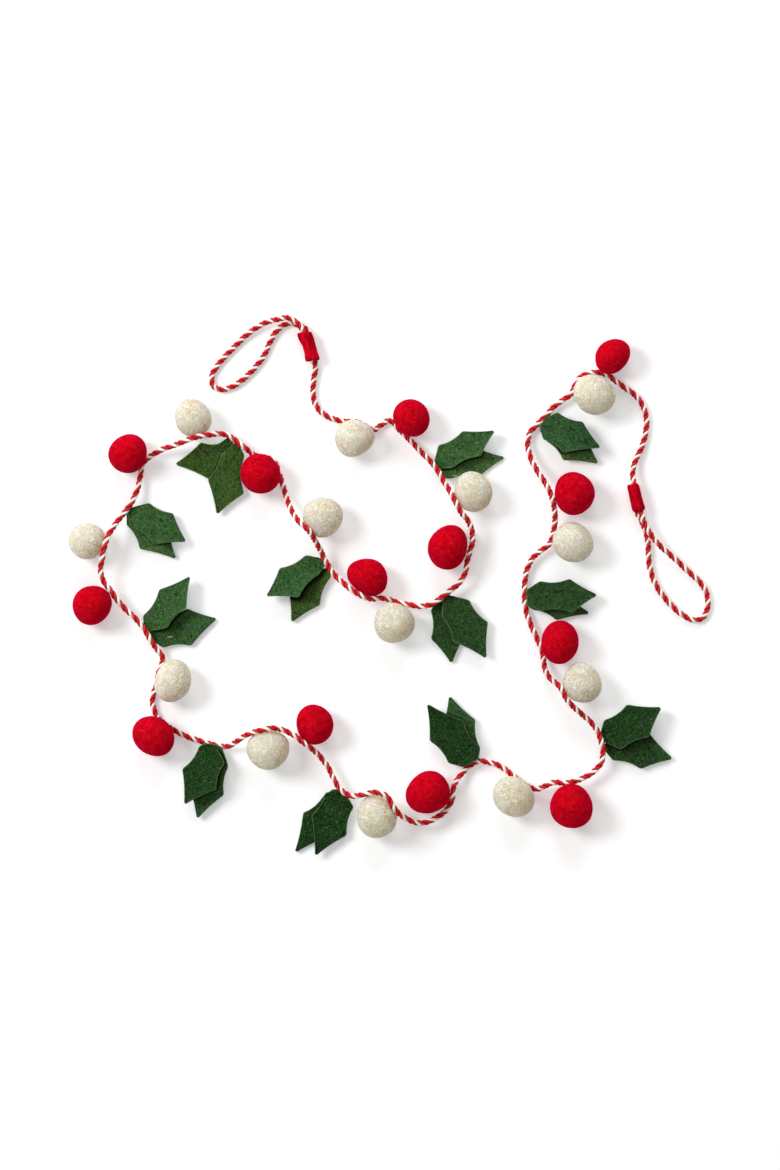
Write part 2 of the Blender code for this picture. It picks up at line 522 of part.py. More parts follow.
def build_ball(name, path, material, collection):
    """A ball seated against the cord, moved along the surface from its place in the table."""
    x, y, length, width, turn, corner, corner_turn = BALLS[name]
    data, rest_height = ball_mesh(name, length * MM, width * MM, turn, corner, corner_turn)
    centre = plan_point(x, y)
    centre.z = rest_height
    skin = [vertex.co.copy() for vertex in data.vertices]
    skin += [(skin[one] + skin[other]) / 2 for one, other in data.edge_keys]
    skin += [polygon.center.copy() for polygon in data.polygons]
    wanted = CORD_RADIUS + PIECE_GAP
    for _ in range(BALL_SEATING_ROUNDS):
        distance, foot = nearest_on_path([centre + point for point in skin], path)
        _, axis_foot = nearest_on_path([centre], path)
        away = centre - axis_foot
        steepness = away.length
        away.z = 0.0
        centre += away.normalized() * ((wanted - distance) * steepness / away.length)
    thing = add_object(name, data, material, collection)
    thing.location = centre
    data.shade_smooth()
    return thing


# Leaves

def leaf_row(name):
    return dict(zip(LEAF_COLUMN_NAMES, LEAVES[name]))


def hollow_edge(start, end, inside, depth_share):
    """Two points of the shallow hollow between two of a holly leaf's corners."""
    chord = end - start
    inward = Vector((-chord.y, chord.x, 0.0)).normalized()
    if inward.dot(inside - start) < 0:
        inward = -inward
    depth = chord.length * depth_share
    thirds = []
    for share in (1 / 3, 2 / 3):
        thirds.append(start + chord * share + inward * (depth * 4 * share * (1 - share)))
    return thirds


def leaf_side(corner, near, spike, tip_corner, middle):
    """One edge of a leaf from its base to its tip."""
    edge = [corner, near]
    edge += hollow_edge(near, spike, middle, LEAF_HOLLOW)
    edge.append(spike)
    edge += hollow_edge(spike, tip_corner, middle, LEAF_TIP_HOLLOW)
    edge.append(tip_corner)
    return edge


def base_corner(row, letter):
    """A leaf's corner at the cord, run on along its edge where it goes under the cord."""
    corner = plan_point(*row["base_" + letter])
    if row["hold"] == "under":
        near = plan_point(*row["near_" + letter])
        corner += (corner - near).normalized() * LEAF_RUN_UNDER
    return corner


def leaf_edges(row):
    """Both edges of a leaf, from base to tip, flat on the surface."""
    corner_a = base_corner(row, "a")
    corner_b = base_corner(row, "b")
    base = corner_a.lerp(corner_b, 0.5)
    tip = plan_point(*row["tip"])
    along = (tip - base).normalized()
    sideways = Vector((-along.y, along.x, 0.0))
    middle = base.lerp(tip, 0.5)
    edges = []
    for corner, side, letter in ((corner_a, 1, "a"), (corner_b, -1, "b")):
        edges.append(leaf_side(
            corner,
            plan_point(*row["near_" + letter]),
            plan_point(*row["spike_" + letter]),
            tip + sideways * (side * LEAF_TIP_HALF_WIDTH),
            middle,
        ))
    return base, tip, edges[0], edges[1]


def build_leaf(name, material, collection):
    """A leaf cut from thick felt: a sheet through its two edges, leaning and tilted."""
    row = leaf_row(name)
    base, tip, edge_a, edge_b = leaf_edges(row)
    rows = len(edge_a)
    length = (tip - base).length
    along = (tip - base).normalized()
    toward_b = Vector((along.y, -along.x, 0.0))
    mesh = bmesh.new()
    grid = bmesh.ops.create_grid(mesh, x_segments=LEAF_COLUMNS, y_segments=rows - 1, size=0.5)
    for vertex in grid["verts"]:
        share = vertex.co.x + 0.5
        place = round((vertex.co.y + 0.5) * (rows - 1))
        spot = edge_a[place].lerp(edge_b[place], share) - base
        run = spot.dot(along) / length
        out = spot.dot(toward_b) / (length * LEAF_SPIKE_SHARE)
        spot.z = (row["rise"] * run + row["tilt"] * out) * MM
        vertex.co = spot
    bmesh.ops.recalc_face_normals(mesh, faces=mesh.faces[:])
    data = bpy.data.meshes.new(name)
    mesh.to_mesh(data)
    mesh.free()
    thing = add_object(name, data, material, collection)
    thing.location = base
    sheet = thing.modifiers.new("felt thickness", "SOLIDIFY")
    sheet.thickness = LEAF_THICKNESS
    sheet.offset = 0.0
    return thing


def solid_probe(thing):
    """A search tree of an object's evaluated surface, and points along all its edges."""
    bpy.context.view_layer.update()
    evaluated = thing.evaluated_get(bpy.context.evaluated_depsgraph_get())
    data = evaluated.to_mesh()
    corners = [thing.matrix_world @ vertex.co for vertex in data.vertices]
    faces = [tuple(polygon.vertices) for polygon in data.polygons]
    points = list(corners)
    for one, other in data.edge_keys:
        run = corners[other] - corners[one]
        count = int(run.length / PROBE_SPACING)
        points += [corners[one] + run * (step / (count + 1)) for step in range(1, count + 1)]
    evaluated.to_mesh_clear()
    return BVHTree.FromPolygons(corners, faces), points


def surface_height(tree, x, y, from_above):
    """Height of the highest or lowest point of a surface over a spot, or None."""
    start = Vector((x, y, PROBE_HEIGHT if from_above else -PROBE_HEIGHT))
    way = Vector((0.0, 0.0, -1.0 if from_above else 1.0))
    hit = tree.ray_cast(start, way)[0]
    return None if hit is None else hit.z


def shared_points(some, others):
    """The points of two sets that lie in the plan box of both."""
    reach = []
    for axis in (0, 1):
        low = max(min(point[axis] for point in some), min(point[axis] for point in others))
        high = min(max(point[axis] for point in some), max(point[axis] for point in others))
        reach.append((low, high))
    (west, east), (south, north) = reach
    return [
        point for point in some + others
        if west <= point.x <= east and south <= point.y <= north
    ]


def least_clearance(lower, upper):
    """The smallest height between two surfaces, one over the other, or None."""
    lower_tree, lower_points = lower
    upper_tree, upper_points = upper
    least = None
    for point in shared_points(lower_points, upper_points):
        under = surface_height(lower_tree, point.x, point.y, True)
        over = surface_height(upper_tree, point.x, point.y, False)
        if under is None or over is None:
            continue
        if least is None or over - under < least:
            least = over - under
    return least


def settle_leaf(leaf, neighbours, hold):
    """Move a leaf up or down until it lies just under, or just over, its neighbours."""
    own = solid_probe(leaf)
    shifts = []
    for neighbour in neighbours:
        other = solid_probe(neighbour)
        if hold == "under":
            clearance = least_clearance(own, other)
        else:
            clearance = least_clearance(other, own)
        if clearance is not None:
            shifts.append(clearance - PIECE_GAP)
    step = min(shifts)
    leaf.location.z += step if hold == "under" else -step


def build_leaf_pair(number, cord, material, collection):
    upper_name = f"leaf_{number:02d}_upper"
    lower_name = f"leaf_{number:02d}_lower"
    upper = build_leaf(upper_name, material, collection)
    lower = build_leaf(lower_name, material, collection)
    if leaf_row(upper_name)["hold"] == "under":
        settle_leaf(upper, [cord], "under")
        settle_leaf(lower, [cord, upper], "under")
    else:
        settle_leaf(lower, [cord], "over")
        settle_leaf(upper, [cord, lower], "over")


def build_garland():
    clear_scene()
    collection = bpy.data.collections.new("felt_holly_garland")
    bpy.context.scene.collection.children.link(collection)
    materials = make_materials()
    path = cord_path()
    cord = build_cord(path, materials["cord_red"], collection)
    for name in SLEEVES:
        build_sleeve(name, materials["felt_red"], collection)
    for name in BALLS:
        felt = materials["felt_cream" if "cream" in name else "felt_red"]
        build_ball(name, path, felt, collection)
    for number in range(1, len(LEAVES) // 2 + 1):
        build_leaf_pair(number, cord, materials["felt_green"], collection)


build_garland()
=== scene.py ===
"""Felt holly garland laid out flat: the looks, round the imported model."""
import math
import random

import bmesh
import bpy
import numpy as np
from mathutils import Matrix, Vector, noise
from mathutils.kdtree import KDTree


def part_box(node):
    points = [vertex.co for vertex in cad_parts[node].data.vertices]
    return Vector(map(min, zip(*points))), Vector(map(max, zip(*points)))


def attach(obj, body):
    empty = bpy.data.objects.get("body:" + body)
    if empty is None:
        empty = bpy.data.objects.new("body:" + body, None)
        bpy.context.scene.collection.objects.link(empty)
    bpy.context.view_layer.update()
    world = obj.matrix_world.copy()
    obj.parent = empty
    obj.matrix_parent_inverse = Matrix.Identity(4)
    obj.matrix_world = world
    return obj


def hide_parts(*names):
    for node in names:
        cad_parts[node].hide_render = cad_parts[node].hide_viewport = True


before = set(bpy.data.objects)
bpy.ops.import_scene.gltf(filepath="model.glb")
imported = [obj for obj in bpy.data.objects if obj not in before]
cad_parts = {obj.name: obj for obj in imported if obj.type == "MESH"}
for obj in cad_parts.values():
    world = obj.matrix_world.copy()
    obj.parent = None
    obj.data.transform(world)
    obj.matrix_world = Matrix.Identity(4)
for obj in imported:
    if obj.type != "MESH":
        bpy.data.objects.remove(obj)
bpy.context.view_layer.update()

MM = 0.001

# Picture units: x to the right, y down, one unit is PICTURE_STEP on the surface.
PICTURE_STEP = 0.625 * MM
PICTURE_CENTRE_X = 370.0
PICTURE_CENTRE_Y = 596.0
PICTURE_WIDTH = 780
PICTURE_HEIGHT = 1170

# Camera and light
CAMERA_DISTANCE = 3.0
CAMERA_SENSOR = 36.0
SHARP_HEIGHT = 6 * MM
LIGHT_DISTANCE = 3.0
LAMPS = {
    # name: way to the lamp in plan, tilt from upright in degrees, size, power
    "key": ((-0.90, 0.43), 47, 1.3, 60.0),
    "top": ((0.0, 1.0), 62, 1.9, 41.0),
}
SKY_STRENGTH = 0.43
SKY_COLOUR = (1.0, 0.97, 0.87)
FLOOR_WHITE = 0.84
FLOOR_GLOW = 0.28
FLOOR_GLOW_COLOUR = (0.90, 0.96, 1.05)
FLOOR_HALF = 5.0

# Cord: three plies twisted to the right, the first one white
CORD_RADIUS = 1.9 * MM
CORD_VALLEY = 1.25 * MM
PLY_TURNS = (112.0, 124.0, 124.0)
PLY_STEPS = 10
CORD_RINGS_A_TURN = 14
CORD_FINE_STEPS = 12
CORD_FINE_SAMPLES = 8000
CORD_MOUTH_REACH = 1.5 * MM
CORD_END_INSET = 1.0 * MM

# Felt sleeves that close the loops: a strip rolled round both cord legs
FLOOR_GAP = 0.1 * MM
SLEEVE_WALL = 1.2 * MM
SLEEVE_CHANNEL_RADIUS = CORD_RADIUS + 0.4 * MM
SLEEVE_CHANNEL_PITCH = 2 * CORD_RADIUS + 0.4 * MM
SLEEVE_TILT = math.radians(59)
SLEEVE_PULL_TURN = 14
SLEEVE_RINGS = 24
SLEEVE_INNER_RINGS = 6
SLEEVE_POINTS = 40
SLEEVE_ROUNDNESS = 0.8
SLEEVE_RIM = ((0.70, 0.30), (0.25, 0.25))  # inset and pull of the end rings, in millimetres
SLEEVE_LIP = (0.85, 0.20)  # the lip's share of the wall, and its pull in millimetres
SLEEVE_CREASE = (0.60 * MM, 0.98, 0.11)  # depth, angle and width in radians
SLEEVE_ROUGH = ((0.10 * MM, 500), (0.16 * MM, 170))  # depth, cells a metre
SLEEVE_LOWEST = 0.03 * MM

# Balls; noise is for wide, middle and small lumps, as shares of the ball's size
BALL_HEIGHT_SHARE = 0.97
BALL_DETAIL = 5
BALL_FLOOR_GAP = 0.02 * MM
LUMP_SCALES = (1.3, 4.1, 11.0)
LUMP_DEPTHS = (0.010, 0.010, 0.006)
RED_LUMPS = 0.8
CREAM_GRAIN = 0.007
WRINKLE_SCALE = 7.5
WRINKLE_WIDTH = 0.10
WRINKLE_DEPTH = 0.026
DENT_GAP = 0.03 * MM
DENT_REACH = 1.1 * MM
DENT_DEPTH = 0.12 * MM
PULL_CONE = (0.62, 0.36)  # cosine where the felt starts to be drawn to the cord, and its run

# Leaves
LEAF_THICKNESS = 1.8 * MM
LEAF_COLUMNS = 26
LEAF_TIP_HALF_WIDTH = 0.7 * MM
LEAF_HOLLOWS = (0.0, 0.09, 0.03)
LEAF_RUN_UNDER = 1.9 * MM
LEAF_EDGE_STEPS = (8, 14, 16)
LEAF_CURL = 1.5
LEAF_CUP = 0.25  # how far both sides of an upper leaf rise, in millimetres
LEAF_SAG = 0.3  # how far a lower leaf sinks, in millimetres
LEAF_ROUNDING = 0.28 * MM
LEAF_RIM_RINGS = ((0.6, 0.0), (0.0, 0.25), (-0.6, 0.0))  # height share, bulge in roundings
LEAF_WAVE_SCALES = (60, 240)
LEAF_WAVES = (0.8, 0.4)  # height of an upper and a lower leaf's wide waves, in millimetres
LEAF_RIPPLE = 0.20  # height of the small waves, in millimetres
LEAF_GROW = (0.1, 0.4)  # share of the length where the wide waves begin, and their run to full
LEAF_CORD_GAP = 0.05 * MM
SETTLE_TOUCH = 0.98  # share of the cord's radius within which the felt lies on it
SETTLE_FROM = 5 * MM
SETTLE_RUN = 20 * MM

# Twist of the cord, uneven along it: millimetres from its start, length of one turn.
CORD_LAYS = (
    (0, 7.6), (150, 7.4), (330, 7.2), (390, 9.2), (445, 10.6), (510, 7.8), (575, 7.7),
    (615, 9.2), (700, 10.2), (770, 11.0), (860, 8.6), (990, 9.4), (1060, 10.7),
    (1170, 8.6), (1240, 10.0), (1280, 7.9), (1340, 9.7), (1400, 7.3), (1440, 9.0),
    (1490, 10.0), (1560, 7.9), (1600, 7.6), (1650, 8.7), (1809, 8.6),
)

# Colours
RED_DARK = (0.375, 0.0004, 0.0025)
RED_LIGHT = (0.548, 0.0006, 0.0078)
RED_FIBRE = (0.80, 0.026, 0.080)
RED_SHEEN = (1.0, 0.02, 0.45)
CREAM_LIGHT = (1.0, 0.960, 0.835)
CREAM_DARK = (1.0, 0.925, 0.765)
CREAM_FIBRE = (0.99, 0.98, 0.92)
# Tan painted into the cream felt's creases as painted shade.
CREAM_CREASE_SHADE = (0.56, 0.37, 0.17)
CREAM_SHEEN = (1.0, 0.90, 0.66)
CREAM_GLOW = (1.0, 0.68, 0.22)
SLEEVE_DARK = (0.29, 0.0006, 0.0042)
SLEEVE_LIGHT = (0.62, 0.0014, 0.0110)
SLEEVE_FIBRE = (0.80, 0.020, 0.060)
# Pale cut edge of the leaves: partly the felt's own, partly a painted highlight.
LEAF_RIM_AND_HIGHLIGHT = (0.17, 0.28, 0.11)
# Painted shade for the lower leaves beside a raised upper leaf.
LEAF_PAINTED_SHADE = (0.004, 0.005, 0.001)
LEAF_SHEEN = (0.7, 1.0, 0.7)
THREAD_PALE = (0.95, 0.92, 0.80)
PLIES = {
    # name: painted valley shade, body colour, painted crest highlight, weight of the light that spreads
    # inside
    "white": ((0.96, 0.79, 0.67), (1.0, 0.945, 0.89), (1.0, 0.97, 0.93), 0.4),
    "red": ((0.12, 0.0005, 0.0016), (0.53, 0.0020, 0.008), (0.77, 0.018, 0.026), 0.0),
}
GREENS = {
    # name: body, blue specks, yellow specks, share of the pale rim, partly painted highlight
    "pale": ((0.076, 0.185, 0.044), (0.028, 0.135, 0.075), (0.20, 0.26, 0.055), 0.50),
    "light": ((0.035, 0.108, 0.026), (0.013, 0.082, 0.047), (0.115, 0.172, 0.040), 0.50),
    "olive": ((0.044, 0.112, 0.016), (0.016, 0.075, 0.035), (0.14, 0.18, 0.025), 0.85),
    "middle": ((0.026, 0.092, 0.026), (0.010, 0.066, 0.040), (0.09, 0.14, 0.032), 0.50),
    "deep": ((0.021, 0.070, 0.016), (0.008, 0.050, 0.028), (0.075, 0.11, 0.020), 0.50),
    "dark": ((0.009, 0.046, 0.007), (0.003, 0.034, 0.017), (0.042, 0.075, 0.010), 0.50),
}

# Loose wool fibres; lengths in millimetres.
FIBRES = {
    # name: slot, colour, fibres a piece, least and most length, least and most lean outward,
    # width, lowest root, how much denser they are on steep sides
    "red": ("felt_red", (0.78, 0.02, 0.04), 480, (0.5, 1.5), (0.15, 0.7), 0.045, 3, 1.0),
    "cream": ("felt_cream", (0.92, 0.88, 0.78), 480, (0.5, 1.5), (0.15, 0.7), 0.045, 3, 1.0),
    "green": ("felt_green", (0.11, 0.21, 0.08), 950, (0.6, 2.0), (0.1, 0.5), 0.06, 0.8, 5.0),
    "sleeve": ("felt_red", (0.74, 0.02, 0.04), 260, (0.4, 1.0), (0.1, 0.5), 0.04, 2, 1.0),
}

FIBRE_ROOT = 0.05 * MM
FIBRE_BEND = 0.6

# Pale threads that lie on a piece: piece, picture point, turn in degrees, length and width
# in millimetres.
THREAD_SEARCH = 0.9 * MM
THREAD_LIFT = 0.12 * MM
THREADS = (
    ("leaf_12_upper", 541.8, 422.2, 30, 1.5, 1.0),
    ("leaf_06_lower", 170.0, 637.0, 5, 4.2, 0.32),
    ("leaf_01_lower", 455.0, 475.5, 10, 3.0, 0.30),
)

# Sleeve outlines in the picture, from its upper end down: left edge, right edge.
SLEEVE_SIDES = {
    "wrap_start": (
        ((296.6, 333.8), (298.8, 339.8), (302.4, 346.2), (304.4, 353.0), (304.8, 361.2)),
        ((311.8, 331.8), (314.0, 338.5), (315.8, 345.5), (317.6, 352.0), (320.4, 359.2)),
    ),
    "wrap_end": (
        ((626.6, 485.6), (628.3, 492.0), (629.6, 498.5), (631.0, 505.0), (632.4, 511.6)),
        ((638.8, 483.6), (640.4, 490.0), (642.0, 496.5), (643.8, 503.0), (645.8, 509.0)),
    ),
}

# Sleeves: the middle of the upper and lower end in the picture, and the side, right (1)
# or left (-1), of the channel that lies higher above the surface.
SLEEVES = {
    # name: x_top, y_top, x_bottom, y_bottom, high_side
    "wrap_start": (305.0, 332.0, 312.5, 360.5, -1),
    "wrap_end": (632.5, 484.3, 639.0, 511.0, 1),
}

# Cord route: x and y in picture units, height of the cord's axis in millimetres.
START_LOOP = (
    (298.5, 324.5, 7.3), (293, 320, 7.6), (286.5, 317.8, 7.4), (278.3, 319.2, 6.4), (266.7, 322, 4.6),
    (255, 328.3, 3.2), (244, 336.7, 2.4), (235, 345.8, 2), (225.8, 355, 2), (217.5, 365, 2),
    (212.5, 373, 2), (211.3, 380, 2), (213.5, 386, 2), (219, 389, 2), (226, 388.6, 2),
    (233.3, 385.8, 2), (241.7, 380, 2), (250, 372.5, 2), (257.5, 364, 2), (264, 355, 2), (268, 346, 2),
    (271.8, 338, 2), (277.5, 329.5, 2), (285, 324, 2.1), (292, 322.6, 2.4), (298.5, 325.3, 2.9),
)
MAIN_RUN = (
    (315.3, 369, 2.6), (314, 377, 2.2), (313, 387, 2), (313.3, 396.7, 2), (315.8, 405, 2),
    (321.7, 412.5, 2), (330, 417.5, 2), (338.3, 420, 2), (346, 421.3, 2), (354, 421.3, 2),
    (362, 423.7, 2), (369, 428.3, 2.1), (374.5, 429.5, 2.3), (380.8, 425, 2.4), (388.3, 420.5, 2.6),
    (393.5, 422.5, 2.6), (397, 427.3, 2.5), (402, 432, 2.5), (408.3, 438.3, 3), (413.3, 443.3, 4),
    (421.7, 452.5, 6), (430.8, 461.7, 7.6), (438.3, 471.7, 8.4), (444, 482, 10.5), (450.2, 492, 14),
    (455.2, 502, 17), (461, 512.7, 17), (467.9, 521.3, 15), (471.7, 531, 13), (472.3, 541.5, 12),
    (470, 551, 11.5), (467.3, 560, 11), (466, 568.5, 10.5), (463, 577.5, 9.5), (456.5, 585.5, 8.6),
    (448, 592.3, 8.4), (440, 598.6, 8.4), (432, 604, 8), (422.7, 606.3, 7.5), (413, 605.3, 6.5),
    (403.5, 603.8, 5.9), (395.5, 602, 5.9), (388, 599.3, 8), (380, 598.3, 11), (372.5, 599, 14),
    (365, 597.3, 16.5), (357, 593, 17), (349.6, 588, 15.5), (340, 580, 12), (333, 573, 9),
    (326.7, 563, 8.4), (321.7, 553, 8.6), (317, 544, 13), (313, 536.7, 17.5), (308.3, 530, 20.3),
    (303, 525.3, 19.3), (297, 519, 16.5), (291.7, 510, 12), (287.5, 500, 7.5), (284, 489, 4.5),
    (281.5, 481, 3), (278.3, 471.5, 2.4), (276.5, 466, 2.2), (272.5, 460.5, 2.2), (266.5, 457.3, 2.4),
    (260, 456.6, 2.2), (253.5, 454.6, 4.4), (246.5, 449, 8.2), (240, 444.3, 9.4), (233.3, 438.8, 9.6),
    (226.7, 435.2, 10.4), (219, 434.2, 11.8), (210, 435.4, 14.5), (201.7, 436.4, 16.7),
    (193.3, 438.7, 17), (186.7, 440.8, 16), (180, 443.6, 13.5), (173.3, 445.8, 11), (163.3, 449, 7.5),
    (155, 453.3, 5), (148.3, 457.6, 3.8), (143.8, 461.8, 3.5), (141.3, 467, 3.5), (140.6, 473, 4),
    (139.5, 480, 5), (138, 487.5, 6.2), (135, 495.8, 7.4), (131.5, 503, 8.3), (126.7, 510, 8.5),
    (120.8, 517.5, 9.5), (115, 525.8, 12.5), (110.3, 533.5, 15.5), (107, 541.7, 17), (104.8, 550, 17),
    (103.2, 558, 15.5), (101.5, 566.7, 13.5), (101.9, 576, 12), (105.5, 583.5, 11.5),
    (110.5, 589.7, 11), (114.3, 595.5, 10.5), (118.5, 601, 10), (123.3, 606.7, 9.4),
    (131.5, 614.5, 8.8), (139.3, 622.3, 8.5), (145.7, 631, 8.4), (151.5, 641.5, 8.2), (158.3, 651, 6),
    (162.5, 658, 4.2), (161, 666, 2.8), (158.3, 673, 2.3), (157, 680, 2.2), (155.8, 686.5, 2.3),
    (153.7, 692, 2.5), (152.4, 698.5, 2.3), (152.6, 705.4, 2.2), (154.6, 712, 2.2), (157.7, 718, 2.2),
    (161, 722, 2.2), (166.5, 725.5, 2.2), (171, 729, 2.3), (175.4, 731, 2.4), (183, 735.2, 2.6),
    (193.8, 739.2, 2.6), (203, 742, 2.6), (211, 744.3, 2.7), (218.5, 745.8, 3.2), (226, 746.6, 5.2),
    (233.8, 743.3, 9), (242, 737.3, 14), (250.8, 732.6, 17.8), (260, 729.9, 20), (269, 727.9, 20.5),
    (275.5, 727.6, 19.3), (283, 729.3, 17.5), (290.8, 732.8, 16.8), (297, 736.3, 17.5),
    (302, 740.8, 17.5), (308, 745, 16), (313, 749.3, 13.5), (318.2, 754.2, 11), (325, 762.5, 9.2),
    (330, 770.5, 8.6), (333.8, 778.7, 8.4), (338, 786, 8.4), (343.7, 792, 8.6), (350.5, 795.4, 10),
    (358, 795, 14), (367.4, 792.6, 18), (377.3, 791.4, 19.5), (385, 794, 20), (390.3, 800, 19.5),
    (394, 807, 18.5), (399, 813, 15.5), (405.7, 817.8, 12.5), (414, 821.7, 10.3), (421.5, 822.9, 9.6),
    (429.5, 820.9, 9.2), (436.6, 817.2, 9.2), (443, 812.8, 9.4), (448.3, 807, 9.6), (452, 799, 9.6),
    (453.2, 791.4, 9), (453.8, 785.5, 7.8), (457.7, 779.3, 6), (463, 772.3, 4.4), (469.5, 766.3, 3.4),
    (477.5, 761.4, 3), (484.5, 761.6, 2.8), (491.6, 763.2, 2.7), (499, 765.6, 2.6), (505, 769.5, 2.6),
    (510, 773.5, 2.3), (515.5, 778, 2.2), (521, 781.8, 2.2), (526.5, 786, 2.3), (532, 788.3, 3),
    (538, 789, 4.5), (545, 786, 6.5), (551, 782.9, 8), (557.5, 782.2, 8.8), (564.5, 783, 9),
    (572, 781.8, 9), (580, 779.2, 8.8), (588.5, 775, 8.6), (595.5, 769.6, 8.5), (601, 762.5, 8.4),
    (602.9, 753.5, 8.4), (602.2, 745.8, 8.4), (600.3, 738.7, 8.4), (597.6, 731.7, 8.4),
    (593.8, 725.7, 8.8), (588.5, 720, 9.6), (581.4, 714, 11.5), (574, 707.6, 14), (567.6, 700.8, 15.5),
    (563.2, 693.6, 16), (559.9, 687, 15.5), (554.6, 682, 13), (549, 677, 10), (545.3, 669.6, 7.5),
    (543.7, 661.5, 5.5), (543, 654.5, 4.8), (541, 647.5, 4.6), (537.7, 640, 4.6), (533.5, 630.5, 4),
    (529.8, 622, 3.4), (526.6, 612, 3), (525, 602, 2.8), (524.6, 592, 2.8), (525, 582, 3),
    (526.2, 573, 3.4), (530, 562.6, 4), (536, 554.5, 4.6), (543.5, 549, 5), (549.5, 544, 5),
    (552.4, 537, 5.4), (554, 529, 6.5), (554.8, 520.5, 8.8), (554.3, 511, 12), (552.9, 503, 14),
    (550.7, 495, 14.8), (547.5, 488, 14), (543.7, 481, 12.5), (538, 472.5, 10.3), (532.8, 463, 7.8),
    (529, 452, 5.4), (527.8, 441.3, 3.8), (530.8, 431.4, 3), (536.8, 424.9, 2.8), (547, 414.5, 3),
    (555.7, 405, 3.6), (565, 398.7, 4.1), (571.5, 393.5, 4.4), (574.5, 386.5, 4.2), (578.5, 379, 4.3),
    (585.5, 374.3, 4.5), (593.4, 372.6, 4.6), (602, 373, 4.4), (609.3, 376, 4), (615.5, 380.7, 3.5),
    (625.2, 387.7, 2.6), (635.2, 394.8, 2.2), (642, 403.6, 2), (646, 413.5, 2), (647, 423.4, 2),
    (645, 437.4, 2.1), (641, 449.3, 2.8), (635.5, 461.2, 4.2), (632.8, 472, 5.6),
)
END_LOOP = (
    (643.5, 521.5, 7.2), (647.3, 529, 7.2), (652, 536.3, 7), (659, 544.7, 6), (669, 553.7, 4.5),
    (677, 560.6, 3.4), (686.9, 570, 2.5), (696.8, 578.8, 2.1), (704.3, 587.5, 2), (707.9, 597, 2),
    (707.8, 608.3, 2), (704.3, 616.3, 2), (697, 620.3, 2), (687, 617.5, 2), (677, 610.5, 2),
    (669, 602.5, 2), (661, 592.6, 2), (655, 582.5, 2), (651, 570.8, 2), (649, 560, 2), (648.7, 549, 2),
    (647.8, 539, 2.1), (645.3, 529.5, 2.4), (641.5, 520.5, 2.9),
)

# Balls in their order along the cord, cream and red in turn: centre in picture units, long
# and short width in millimetres, and the long width's turn from the picture's right, in
# degrees, upward. corner is how far the outline swells, in hundredths, toward three sides,
# and corner_turn the way to the first of them.
BALLS = (
    # x, y, length, width, turn, corner, corner_turn
    (354, 437, 25, 23, 20, 3.5, 10), (411, 418.5, 24.2, 22.2, -55, 0.5, 50),
    (472, 492.5, 25.8, 23.2, -70, 1.5, 0), (448, 547.5, 28.4, 24.4, 70, 2.5, 55),
    (393.5, 623.5, 25.4, 25, -5, 2.5, -5), (368, 577.5, 26.4, 22.2, -30, 3.5, 50),
    (322.5, 516.5, 25.2, 25, 70, 2.5, 25), (260.5, 473.5, 25.6, 24.6, -40, 1, -15),
    (193, 419, 24.4, 22.4, -60, 2.5, -10), (128, 453.5, 25, 23.6, 50, 2, -60),
    (88, 541, 23.2, 22.8, 15, 1, 35), (93, 604, 25.4, 23.8, 50, 2, 25),
    (173.5, 681, 27.4, 22.4, 70, 1.5, -25), (153.5, 736.5, 27.6, 23.8, -35, 1, -55),
    (268.5, 748.5, 26.8, 25.2, 5, 2, 35), (314.5, 724.5, 25.2, 23, -75, 1.5, 5),
    (375, 817, 27.6, 24.6, -75, 3.5, -10), (429, 793, 28.2, 25.6, 40, 2.5, -40),
    (513.5, 796, 27.4, 24.2, -40, 1, -35), (571, 806, 28, 26.6, -70, 2, -35),
    (581, 683.5, 25.8, 23.4, -60, 2, -25), (560, 642, 27.4, 23.4, 85, 0.5, 0),
    (571.5, 542.5, 26.2, 24.4, -40, 1.5, -25), (573, 493.5, 27, 25, -85, 2.5, 5),
    (593.5, 394.5, 26.8, 24.4, -35, 1, 10), (612, 356, 23.8, 20, 45, 2, 25),
)
